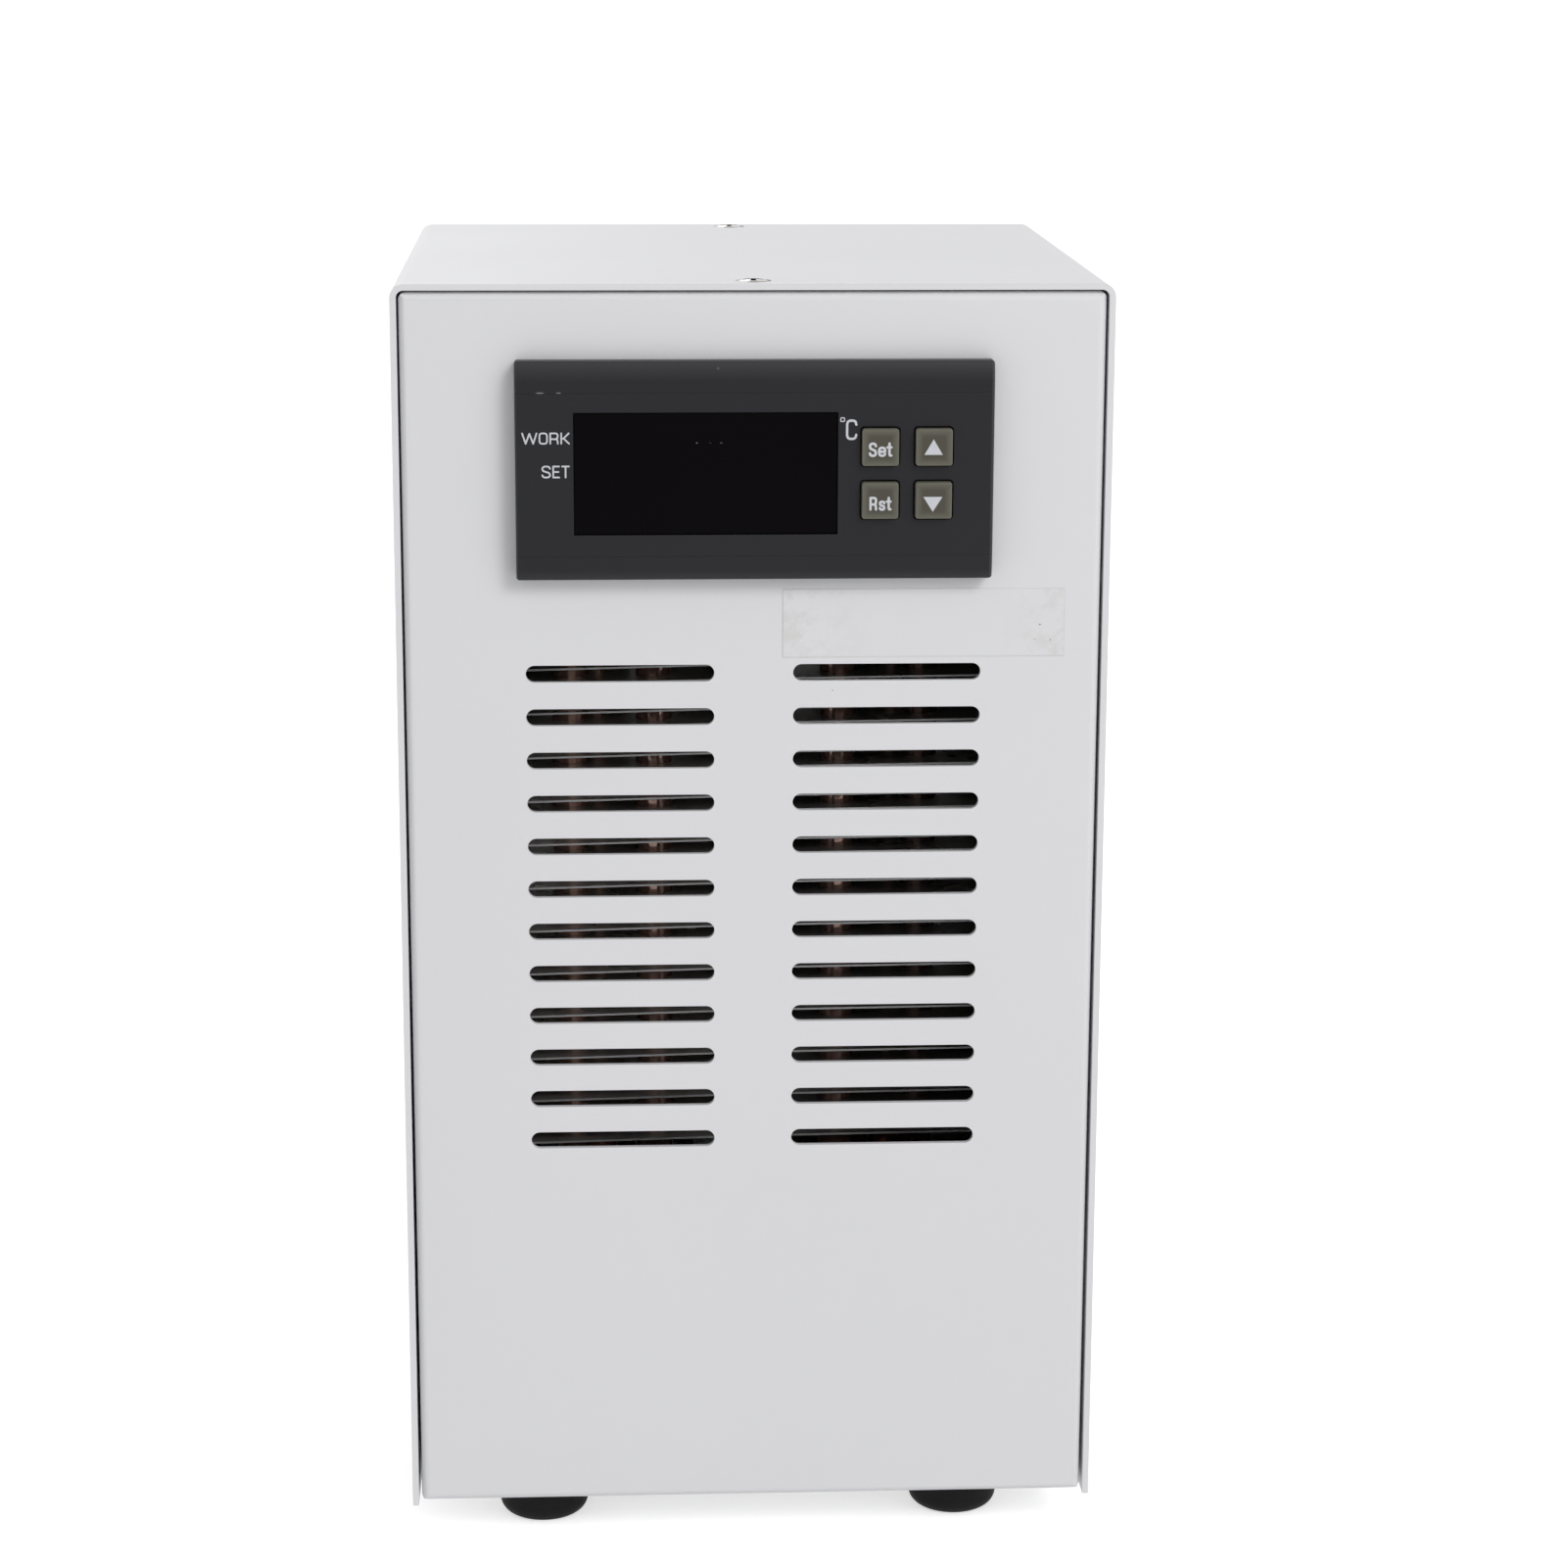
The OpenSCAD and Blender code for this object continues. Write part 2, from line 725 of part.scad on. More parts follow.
module rear_panel() color(PAINT) {
    difference() {
        translate([0, case_d, panel_h / 2]) rotate([0, 0, 180]) pan(panel_w, panel_h);
        translate([0, 0, fan_z]) rod_y(fan_bore_d, case_d - panel_t - over, case_d + over);
        at_fan_screws() rod_y(fan_hole_d, case_d - panel_t - over, case_d + over);
        for (s = [-1, 1]) translate([s * tail_x, 0, tail_z])
            rod_y(tail_shank_d + 2 * screw_clear, case_d - panel_t - over, case_d + over);
        translate([-jack_x, 0, jack_z])
            rod_y(jack_body_d + 2 * screw_clear, case_d - panel_t - over, case_d + over);
        panel_screw_holes();
    }
}

// Floor with its upturned sides between the two panels' rims
module floor_tray() color(PAINT) {
    narrow = rim_in_x - fold_r;
    end_y = fold_r + floor_clear;
    y0 = rim_d + floor_clear;
    difference() {
        union() {
            box([-narrow, end_y, panel_t], [narrow, case_d - end_y, floor_z]);
            along_y(y0, case_d - y0) difference() {
                floor_section(panel_w / 2, panel_t, fold_r);
                floor_section(rim_in_x, floor_z, fold_r - panel_t);
            }
        }
        at_feet() translate([0, 0, -over])
            cylinder(d = foot_screw_d + 2 * screw_clear, h = floor_z + 2 * over);
        at_standoffs() cylinder(d = standoff_spigot_d, h = floor_z + over);
        at_side_screws() translate([0, 0, -cover_screw_len])
            cylinder(d = cover_screw_d + 2 * screw_clear, h = cover_screw_len);
    }
}

module floor_section(half_w, z0, r) {
    translate([-half_w, z0 + r]) square([2 * half_w, floor_side_h - z0 - r + (z0 > panel_t ? over : 0)]);
    translate([-half_w + r, z0]) square([2 * (half_w - r), 2 * r]);
    for (s = [-1, 1]) translate([s * (half_w - r), z0 + r]) circle(r);
}

module cover_top_screws() color(STEEL) {
    at_top_screws() translate([0, 0, -screw_sink])
        raised_screw(cover_screw_d, cover_screw_len, cover_screw_head_d, cover_screw_rise);
}

module cover_side_screws() color(STEEL) {
    at_side_screws() translate([0, 0, -screw_sink])
        raised_screw(cover_screw_d, cover_screw_len, cover_screw_head_d, cover_screw_rise);
}

// Nuts pressed against the rims' and the floor sides' inner faces
module press_nuts() color(STEEL) {
    top_in = cover_t + cover_gap + panel_t;
    side_in = leg_x(side_screw_z) - rim_in_x;
    at_top_screws() translate([0, 0, -top_in - press_nut_h]) press_nut();
    at_side_screws() translate([0, 0, -side_in - press_nut_h]) press_nut();
}

module press_nut() {
    linear_extrude(press_nut_h) difference() {
        circle(d = press_nut_d);
        circle(d = cover_screw_d + screw_clear);
    }
}

// Rubber foot with a well for its screw's head, its top at z = 0
module foot() {
    difference() {
        rotate_extrude() {
            translate([0, -foot_h + foot_edge_r]) square([foot_d / 2, foot_h - foot_edge_r]);
            translate([0, -foot_h]) square([foot_d / 2 - foot_edge_r, foot_h]);
            translate([foot_d / 2 - foot_edge_r, -foot_h + foot_edge_r]) circle(foot_edge_r);
        }
        translate([0, 0, -foot_h - over]) cylinder(d = foot_bore_d, h = foot_h + over - foot_seat_t);
        translate([0, 0, -foot_h - over])
            cylinder(d = foot_screw_d + 2 * screw_clear, h = foot_h + 2 * over);
    }
}

module foot_front_left() color(RUBBER) translate([-foot_x, foot_inset, 0]) foot();

module foot_front_right() color(RUBBER) translate([foot_x, foot_inset, 0]) foot();

module foot_rear_left() color(RUBBER) translate([-foot_x, case_d - foot_inset, 0]) foot();

module foot_rear_right() color(RUBBER) translate([foot_x, case_d - foot_inset, 0]) foot();

module foot_screws() color(STEEL) {
    at_feet() translate([0, 0, -foot_seat_t]) rotate([180, 0, 0])
        pan_screw(foot_screw_d, foot_screw_len, foot_head_d, foot_head_h);
}

module foot_nuts() color(STEEL) {
    at_feet() translate([0, 0, floor_z]) linear_extrude(foot_nut_h) difference() {
        hexagon(foot_nut_d);
        circle(d = foot_screw_d + screw_clear);
    }
}

module blank_label() color("white", 0.5) {
    translate([label_x, 0, case_h - label_drop]) along_y(-label_t, 0)
        square([label_w, label_h], center = true);
}

module at_keys() {
    for (cell = key_cells) at_key(cell) children();
}

module at_key(cell) {
    translate([key_x + cell[0] * key_pitch, 0, bezel_z - key_drop + cell[1] * key_pitch]) children();
}

// Points of the strip between two heights, from the flat face's line out to the bezel's edge
function bezel_strip(face_z, edge_z) = [for (p = bezel_curve_shares)
    [bezel_front_y + p[1] * bezel_slope_back, face_z + p[0] * (edge_z - face_z)]];

// Points taken in reverse order
function backwards(points) = [for (i = [len(points) - 1 : -1 : 0]) points[i]];

// Bezel: flat face between two strips that curve back to its upper and lower edges
module controller_bezel() color(DARK) {
    back_y = -gasket_t;
    low = -bezel_h / 2;
    high = bezel_h / 2;
    difference() {
        translate([0, 0, bezel_z]) intersection() {
            along_y(bezel_front_y - over, back_y) rounded_rect(bezel_w, bezel_h, bezel_edge_r);
            along_x(-bezel_w / 2 - over, bezel_w / 2 + over) polygon(concat(
                [[back_y, low]], backwards(bezel_strip(low + bezel_slope_low, low)),
                bezel_strip(high - bezel_slope_top, high), [[back_y, high]]
            ));
        }
        translate([0, 0, bezel_z]) along_y(bezel_plate_y, back_y + over)
            square([bezel_room_w, bezel_room_h], center = true);
        translate([-window_left, 0, bezel_z - key_drop]) {
            along_y(bezel_front_y - over, window_back_y)
                square([window_w + 2 * window_clear, window_h + 2 * window_clear], center = true);
            along_y(bezel_front_y, bezel_plate_y + over)
                square([window_w - 2 * window_lip, window_h - 2 * window_lip], center = true);
        }
        at_keys() along_y(bezel_front_y - over, bezel_plate_y + over)
            rounded_rect(key_w + 2 * key_clear, key_w + 2 * key_clear, key_edge_r + key_clear);
    }
}

module controller_gasket() color(RUBBER) {
    translate([0, 0, bezel_z]) along_y(-gasket_t, 0) difference() {
        rounded_rect(bezel_w - 2 * gasket_rim, bezel_h - 2 * gasket_rim, bezel_edge_r);
        square([housing_w + 2 * cutout_clear, housing_h + 2 * cutout_clear], center = true);
    }
}

module controller_housing() color(BLACK) {
    translate([0, 0, bezel_z]) along_y(-gasket_t, housing_end_y) difference() {
        square([housing_w, housing_h], center = true);
        square([housing_in_w, housing_in_h], center = true);
    }
}

// Clips that slide along the housing's sides and pull the bezel against the panel
module mounting_clips() color(BLACK) {
    for (s = [-1, 1]) translate([s * (housing_w / 2 + clip_w / 2), 0, bezel_z]) {
        along_y(panel_t, panel_t + clip_len) square([clip_w, clip_h], center = true);
        translate([s * clip_thumb / 2, 0, 0])
            along_y(panel_t + clip_len - clip_thumb, panel_t + clip_len)
                square([clip_w + clip_thumb, clip_h], center = true);
    }
}

module display_window() color("black") {
    translate([-window_left, 0, bezel_z - key_drop])
        along_y(bezel_front_y + window_sink, window_back_y) square([window_w, window_h], center = true);
}

module display_module() color(BLACK) {
    translate([-window_left, 0, bezel_z - key_drop]) along_y(bezel_plate_y + key_gap, board_y)
        square([window_w - 2 * window_lip, window_h - 2 * window_lip], center = true);
}

// Front board behind the display and the keys, and the relay board that it carries
module control_boards() color(BOARD) {
    relay_w = 16;
    relay_h = 11;
    relay_d = 20;
    main_drop = 6;
    translate([0, 0, bezel_z]) {
        along_y(board_y, board_y + board_t)
            square([housing_in_w - 2 * board_clear, housing_in_h - 2 * board_clear], center = true);
        translate([0, 0, -main_drop]) along_y(board_y + board_t, housing_end_y - board_clear)
            square([housing_in_w - 2 * board_clear, board_t], center = true);
        for (s = [-1, 1])
            translate([s * relay_w, housing_end_y / 2, -main_drop + board_t / 2])
                box([-relay_w / 2, 0, 0], [relay_w / 2, relay_d, relay_h]);
    }
}

module key_switches() color(BLACK) {
    at_keys() difference() {
        along_y(key_switch_y, board_y) square(switch_w, center = true);
        rod_y(switch_bore_d, key_switch_y - over, key_switch_y + switch_bore_depth);
    }
}

module key(cell) {
    cap_y = bezel_front_y - key_proud;
    at_key(cell) {
        along_y(cap_y, key_flange_y) rounded_rect(key_w, key_w, key_edge_r);
        along_y(key_flange_y, key_flange_y + key_flange_t)
            square(key_w + 2 * key_flange_over, center = true);
        rod_y(key_stem_d, key_flange_y + key_flange_t, key_flange_y + key_flange_t + key_stem_len);
    }
}

module key_set() color(KEYCAP) key(key_cells[0]);

module key_up() color(KEYCAP) key(key_cells[1]);

module key_reset() color(KEYCAP) key(key_cells[2]);

module key_down() color(KEYCAP) key(key_cells[3]);

function terminal_x(i) = (i - (terminal_count - 1) / 2) * terminal_pitch;

module terminal_block() color(BLACK) {
    difference() {
        translate([0, 0, bezel_z]) {
            along_y(housing_end_y, housing_end_y + terminal_cap_t)
                square([housing_w, housing_h], center = true);
            along_y(housing_end_y + terminal_cap_t, terminal_end_y)
                square([terminal_w, terminal_h], center = true);
        }
        for (i = [0 : terminal_count - 1]) {
            translate([terminal_x(i), 0, terminal_entry_z])
                rod_y(terminal_entry_d, terminal_end_y - terminal_entry_depth, terminal_end_y + over);
            translate([terminal_x(i), 0, bezel_z + terminal_rise])
                rod_y(terminal_screw_d + 2 * screw_clear,
                    terminal_end_y - terminal_screw_sink - terminal_screw_t, terminal_end_y + over);
        }
    }
}

module terminal_screws() color(STEEL) {
    for (i = [0 : terminal_count - 1])
        translate([terminal_x(i), terminal_end_y - terminal_screw_sink, bezel_z + terminal_rise])
            rotate([-90, 0, 0]) difference() {
                translate([0, 0, -terminal_screw_t]) cylinder(d = terminal_screw_d, h = terminal_screw_t);
                cross_recess(terminal_screw_d * recess_len_share, recess_w,
                    terminal_screw_t * recess_depth_share);
            }
}

module foam_pad() color(FOAM) {
    half = block_w / 2 + pad_over;
    box([-half, stack_y - half, floor_z], [half, stack_y + half, block_z]);
}

// Foam round the water block, with ways out for the hoses and a seat for the probe
module foam_collar() color(FOAM) {
    half_in = block_w / 2;
    half_out = half_in + collar_t;
    hose_d = hose_bore_d + 2 * hose_wall + 2 * board_clear;
    difference() {
        box([-half_out, stack_y - half_out, block_z], [half_out, stack_y + half_out, module_z]);
        box([-half_in, stack_y - half_in, block_z - over], [half_in, stack_y + half_in, module_z + over]);
        for (s = [-1, 1]) translate([s * tail_x, 0, port_z])
            rod_y(hose_d, stack_y + half_in - over, stack_y + half_out + over);
        translate([-half_in - probe_d / 2 - probe_clear, 0, port_z])
            rod_y(probe_d + 2 * probe_clear, stack_y - half_out - over, stack_y);
    }
}

// Water block: a box open below, with ribs that lead the water to and fro
module water_block() color(ALUMINIUM) {
    half = block_w / 2;
    in_half = half - block_wall;
    z0 = block_z + block_lid_t;
    difference() {
        box([-half, stack_y - half, z0], [half, stack_y + half, module_z]);
        difference() {
            box([-in_half, stack_y - in_half, z0 - over], [in_half, stack_y + in_half, module_z - block_roof]);
            box([-rib_t / 2, stack_y - in_half + rib_gap, z0 - over],
                [rib_t / 2, stack_y + in_half + over, module_z]);
            for (s = [-1, 1])
                box([s * in_half / 2 - rib_t / 2, stack_y - in_half - over, z0 - over],
                    [s * in_half / 2 + rib_t / 2, stack_y + in_half - rib_gap, module_z]);
        }
        for (s = [-1, 1]) translate([s * tail_x, 0, port_z])
            rod_y(port_d, stack_y + in_half - over, stack_y + half + over);
    }
}

module block_lid() color(ALUMINIUM) {
    half = block_w / 2;
    box([-half, stack_y - half, block_z], [half, stack_y + half, block_z + block_lid_t]);
}

// Stub tube with shallow barbs, from y = 0 to y = l
module barbed_stub(d, bore, l, cut, pitch) {
    difference() {
        rod_y(d, 0, l);
        for (y = [pitch : pitch : l - pitch / 2])
            translate([0, y, 0]) difference() {
                rod_y(d + over, 0, pitch / 3);
                rod_y(d - 2 * cut, -over, pitch);
            }
        rod_y(bore, -over, l + over);
    }
}

module block_barbs() color(BRASS) {
    for (s = [-1, 1]) translate([s * tail_x, stack_y + block_w / 2, port_z])
        barbed_stub(hose_bore_d, barb_bore_d, barb_len, barb_neck, barb_pitch);
}

module thermoelectric_module() color(CERAMIC) {
    half = module_w / 2;
    plate = module_t / 4;
    inset = 1;
    box([-half, stack_y - half, module_z], [half, stack_y + half, module_z + plate]);
    box([-half + inset, stack_y - half + inset, module_z + plate],
        [half - inset, stack_y + half - inset, plate_z - plate]);
    box([-half, stack_y - half, plate_z - plate], [half, stack_y + half, plate_z]);
}

module at_standoffs() {
    for (sx = [-1, 1], sy = [-1, 1])
        translate([sx * standoff_x, stack_y + sy * standoff_y, 0]) children();
}

module hot_plate() color(COPPER) {
    difference() {
        box([-plate_w / 2, stack_y - plate_d / 2, plate_z], [plate_w / 2, stack_y + plate_d / 2, plate_top]);
        at_standoffs() translate([0, 0, plate_z - over])
            cylinder(d = clamp_screw_d + 2 * screw_clear, h = plate_t + 2 * over);
    }
}

module pipe_block() color(ALUMINIUM) {
    half = pipe_block_w / 2;
    difference() {
        box([-half, pipe_block_y, plate_top], [half, pipe_block_y + pipe_block_d, plate_top + pipe_block_h]);
        for (p = heat_pipes) translate([-half - over, fin_y + p[1], pipe_z])
            rotate([0, 90, 0]) cylinder(d = pipe_d + 2 * pipe_fit, h = pipe_block_w + 2 * over);
    }
}

// Heat pipe: up one side of the fins, through the block and up the other side
module heat_pipe(p) color(COPPER) {
    row_y = fin_y + p[1];
    up_y = row_y - p[2];
    jog_z = pipe_z + pipe_bend_r + pipe_bend_r * jog_ease_share;
    jog = p[2] == 0 ? [] : [[p[0], row_y, jog_z], [p[0], up_y, jog_z + p[2] * jog_slope_share]];
    right = concat([[p[0], row_y, pipe_z]], jog, [[p[0], up_y, pipe_end_z]]);
    left = [for (i = [len(right) - 1 : -1 : 0]) [-right[i][0], right[i][1], right[i][2]]];
    bent_bar(concat(left, right), pipe_d, pipe_bend_r);
}

module heat_pipe_front() heat_pipe(front_pipe);

module heat_pipe_outer() heat_pipe(outer_pipe);

module heat_pipe_middle() heat_pipe(middle_pipe);

module heat_pipe_rear() heat_pipe(rear_pipe);

module cooling_fins() color(ALUMINIUM) {
    for (i = [0 : fin_count - 1]) translate([0, fin_y, fin_z + i * fin_pitch])
        linear_extrude(fin_t) difference() {
            translate([-fin_w / 2, 0]) square([fin_w, fin_d]);
            for (p = heat_pipes, s = [-1, 1])
                translate([s * p[0], p[1] - p[2]]) circle(d = pipe_d + 2 * pipe_fit);
        }
}

module standoffs() color(STEEL) {
    at_standoffs() difference() {
        union() {
            translate([0, 0, panel_t]) cylinder(d = standoff_spigot_d, h = panel_t);
            translate([0, 0, floor_z]) cylinder(d = standoff_d, h = plate_z - floor_z);
        }
        translate([0, 0, plate_top - clamp_screw_len - over])
            cylinder(d = clamp_screw_d + screw_clear, h = clamp_screw_len + over);
    }
}

module clamp_screws() color(STEEL) {
    at_standoffs() translate([0, 0, plate_top])
        pan_screw(clamp_screw_d, clamp_screw_len, clamp_head_d, clamp_head_h);
}

module at_fan_screws() {
    for (sx = [-1, 1], sz = [-1, 1])
        translate([sx * fan_hole_pitch / 2, 0, fan_z + sz * fan_hole_pitch / 2]) children();
}

// Frame with its air passage, motor plate on four struts, and the bearing's tube
module fan_frame() color(BLACK) {
    difference() {
        translate([0, 0, fan_z]) {
            along_y(fan_y, fan_y + fan_flange_t) rounded_rect(fan_w, fan_w, fan_corner_r);
            along_y(fan_back_y - fan_flange_t, fan_back_y) rounded_rect(fan_w, fan_w, fan_corner_r);
            rod_y(fan_barrel_d, fan_y, fan_back_y);
        }
        translate([0, 0, fan_z]) rod_y(fan_bore_d, fan_y - over, fan_back_y + over);
        at_fan_screws() rod_y(fan_hole_d, fan_y - over, fan_back_y + over);
    }
    translate([0, 0, fan_z]) {
        difference() {
            union() {
                rod_y(motor_plate_d, motor_plate_y, motor_plate_y + motor_plate_t);
                rod_y(bearing_d + 2 * bearing_tube_t, tube_y, motor_plate_y + motor_plate_t);
            }
            rod_y(bearing_d, tube_y - over, motor_plate_y);
        }
        for (a = [0 : 90 : 270]) rotate([0, a, 0])
            box([motor_plate_d / 2 - over, motor_plate_y, -strut_w / 2],
                [(fan_bore_d + fan_barrel_d) / 4, motor_plate_y + motor_plate_t, strut_w / 2]);
    }
}

module fan_bearing() color(BRASS) {
    translate([0, 0, fan_z]) difference() {
        rod_y(bearing_d, motor_plate_y - bearing_len, motor_plate_y);
        rod_y(shaft_d + 2 * bearing_clear, motor_plate_y - bearing_len - over, motor_plate_y + over);
    }
}

// Stator core with four slotted poles round the bearing's tube
module fan_stator() color(COPPER) {
    bore = bearing_d + 2 * bearing_tube_t;
    translate([0, motor_plate_y - stator_len, fan_z]) difference() {
        rod_y(stator_d, 0, stator_len);
        rod_y(bore, -over, stator_len + over);
        for (a = [0 : 90 : 270]) rotate([0, a, 0])
            box([stator_core_d / 2, -over, -stator_slot_w / 2],
                [stator_d, stator_len + over, stator_slot_w / 2]);
    }
}

// Blade section in the tangential and axial directions, bowed and cut square at both ends
module blade_section() {
    intersection() {
        rotate(-blade_angle) translate([0, -blade_bow_r]) difference() {
            circle(blade_bow_r + blade_t / 2);
            circle(blade_bow_r - blade_t / 2);
        }
        square([blade_chord_w, blade_axial], center = true);
    }
}

module fan_rotor() color(BLACK) {
    blade_root_r = hub_d / 2 - hub_wall / 2;
    translate([0, hub_y, fan_z]) {
        difference() {
            union() {
                difference() {
                    rod_y(hub_d, 0, hub_len);
                    rod_y(hub_d - 2 * hub_wall, hub_roof, hub_len + over);
                }
                rod_y(boss_d, hub_roof / 2, boss_len);
            }
            rod_y(shaft_d, hub_roof / 2, boss_len + over);
        }
        for (i = [0 : blades - 1]) rotate([0, i * 360 / blades, 0])
            difference() {
                intersection() {
                    translate([hub_d / 4, blade_inset + blade_axial / 2, 0])
                        rotate([90, 0, 90]) rotate([0, 0, 90]) linear_extrude(blade_tip_d / 2)
                            blade_section();
                    rod_y(blade_tip_d, 0, hub_len);
                }
                rod_y(2 * blade_root_r, -over, hub_len + over);
            }
    }
}

module fan_shaft() color(STEEL) {
    translate([0, 0, fan_z]) rod_y(shaft_d, hub_y + hub_roof / 2, hub_y + hub_roof / 2 + shaft_len);
}

// Wire guard: rings welded on four radial wires that end in screw eyes
module fan_guard() color(STEEL) {
    wire_y = case_d + guard_wire_d / 2;
    ring_y = wire_y + guard_wire_d - guard_weld;
    ring_step = (guard_d - guard_hub_d) / 2 / (guard_rings - 1);
    eye_r = norm([1, 1]) * fan_hole_pitch / 2;
    eye_ring_r = (guard_eye_d) / 2;
    translate([0, 0, fan_z]) {
        for (i = [0 : guard_rings - 1]) translate([0, ring_y, 0]) rotate([-90, 0, 0])
            rotate_extrude() translate([guard_hub_d / 2 + i * ring_step, 0]) circle(d = guard_wire_d);
        for (a = [45 : 90 : 315]) rotate([0, a, 0]) translate([guard_hub_d / 2 - guard_wire_d, wire_y, 0])
            rotate([0, 90, 0])
                cylinder(d = guard_wire_d, h = eye_r - eye_ring_r - guard_hub_d / 2 + guard_wire_d);
    }
    at_fan_screws() translate([0, wire_y, 0]) rotate([-90, 0, 0])
        rotate_extrude() translate([eye_ring_r, 0]) circle(d = guard_wire_d);
}

module fan_screws() color(STEEL) {
    at_fan_screws() translate([0, case_d + guard_wire_d, 0]) rotate([-90, 0, 0])
        pan_screw(fan_screw_d, fan_screw_len, fan_head_d, fan_head_h);
}

// Hose tail: hexagon outside the panel, shank through it, plain land and barbed end
module hose_tail(x) {
    hex_y = case_d + tail_seal_t;
    land_y = hex_y + tail_hex_t;
    barb_y = land_y + tail_land;
    translate([x, 0, tail_z]) {
        difference() {
            union() {
                along_y(hex_y, land_y) hexagon(tail_hex_w);
                rod_y(tail_d, land_y, barb_y);
                rod_y(tail_shank_d, case_d - panel_t - tail_nut_t - tail_inner_gap, hex_y);
            }
            rod_y(tail_bore_d, tail_inner_y - over, barb_y + over);
        }
        translate([0, barb_y, 0])
            barbed_stub(tail_d - 2 * tail_barb_ease, tail_bore_d, tail_barbed, tail_barb_cut, tail_barb_pitch);
        translate([0, tail_inner_y, 0])
            barbed_stub(hose_bore_d, tail_bore_d, tail_neck_len, barb_neck, barb_pitch);
    }
}

module hose_tail_inlet() color(BRASS) hose_tail(tail_x);

module hose_tail_outlet() color(BRASS) hose_tail(-tail_x);

module hose_tail_seals() color(RUBBER) {
    for (s = [-1, 1]) translate([s * tail_x, 0, tail_z]) along_y(case_d, case_d + tail_seal_t) difference() {
        circle(d = tail_hex_w);
        circle(d = tail_shank_d + 2 * screw_clear);
    }
}

module hose_tail_nuts() color(BRASS) {
    for (s = [-1, 1]) translate([s * tail_x, 0, tail_z])
        along_y(case_d - panel_t - tail_nut_t, case_d - panel_t) difference() {
            hexagon(tail_nut_w);
            circle(d = tail_shank_d + screw_clear);
        }
}

// Soft hoses from the water block's barbs to the tails' inner ends
module inner_hoses() color(SILICONE) {
    start_y = stack_y + block_w / 2 + board_clear;
    end_y = tail_inner_y + tail_neck_len - board_clear;
    for (s = [-1, 1]) translate([s * tail_x, 0, tail_z]) along_y(start_y, end_y) difference() {
        circle(d = hose_bore_d + 2 * hose_wall);
        circle(d = hose_bore_d + 2 * hose_clear);
    }
}

// Jack for a barrel plug: flanged sleeve, centre pin and a solder tag behind
module inlet_jack() color(BLACK) {
    tag_y = case_d - jack_body_len;
    tag_len = 5;
    translate([-jack_x, 0, jack_z]) {
        difference() {
            union() {
                rod_y(jack_flange_d, case_d, case_d + jack_flange_t);
                rod_y(jack_body_d, tag_y, case_d);
            }
            rod_y(jack_bore_d, case_d + jack_flange_t - jack_depth, case_d + jack_flange_t + over);
        }
        rod_y(jack_pin_d, case_d + jack_flange_t - jack_depth - over, case_d - jack_tag_t);
        box([-jack_pin_d / 2, tag_y - tag_len, -jack_tag_t / 2], [jack_pin_d / 2, tag_y, jack_tag_t / 2]);
    }
}

module inlet_jack_nut() color(STEEL) {
    translate([-jack_x, 0, jack_z]) along_y(case_d - panel_t - jack_nut_t, case_d - panel_t) difference() {
        hexagon(jack_nut_w);
        circle(d = jack_body_d + screw_clear);
    }
}

module temperature_probe() color(STEEL) {
    translate([-block_w / 2 - probe_d / 2 - probe_clear, 0, port_z])
        rod_y(probe_d, stack_y - probe_len / 2, stack_y - probe_clear);
}

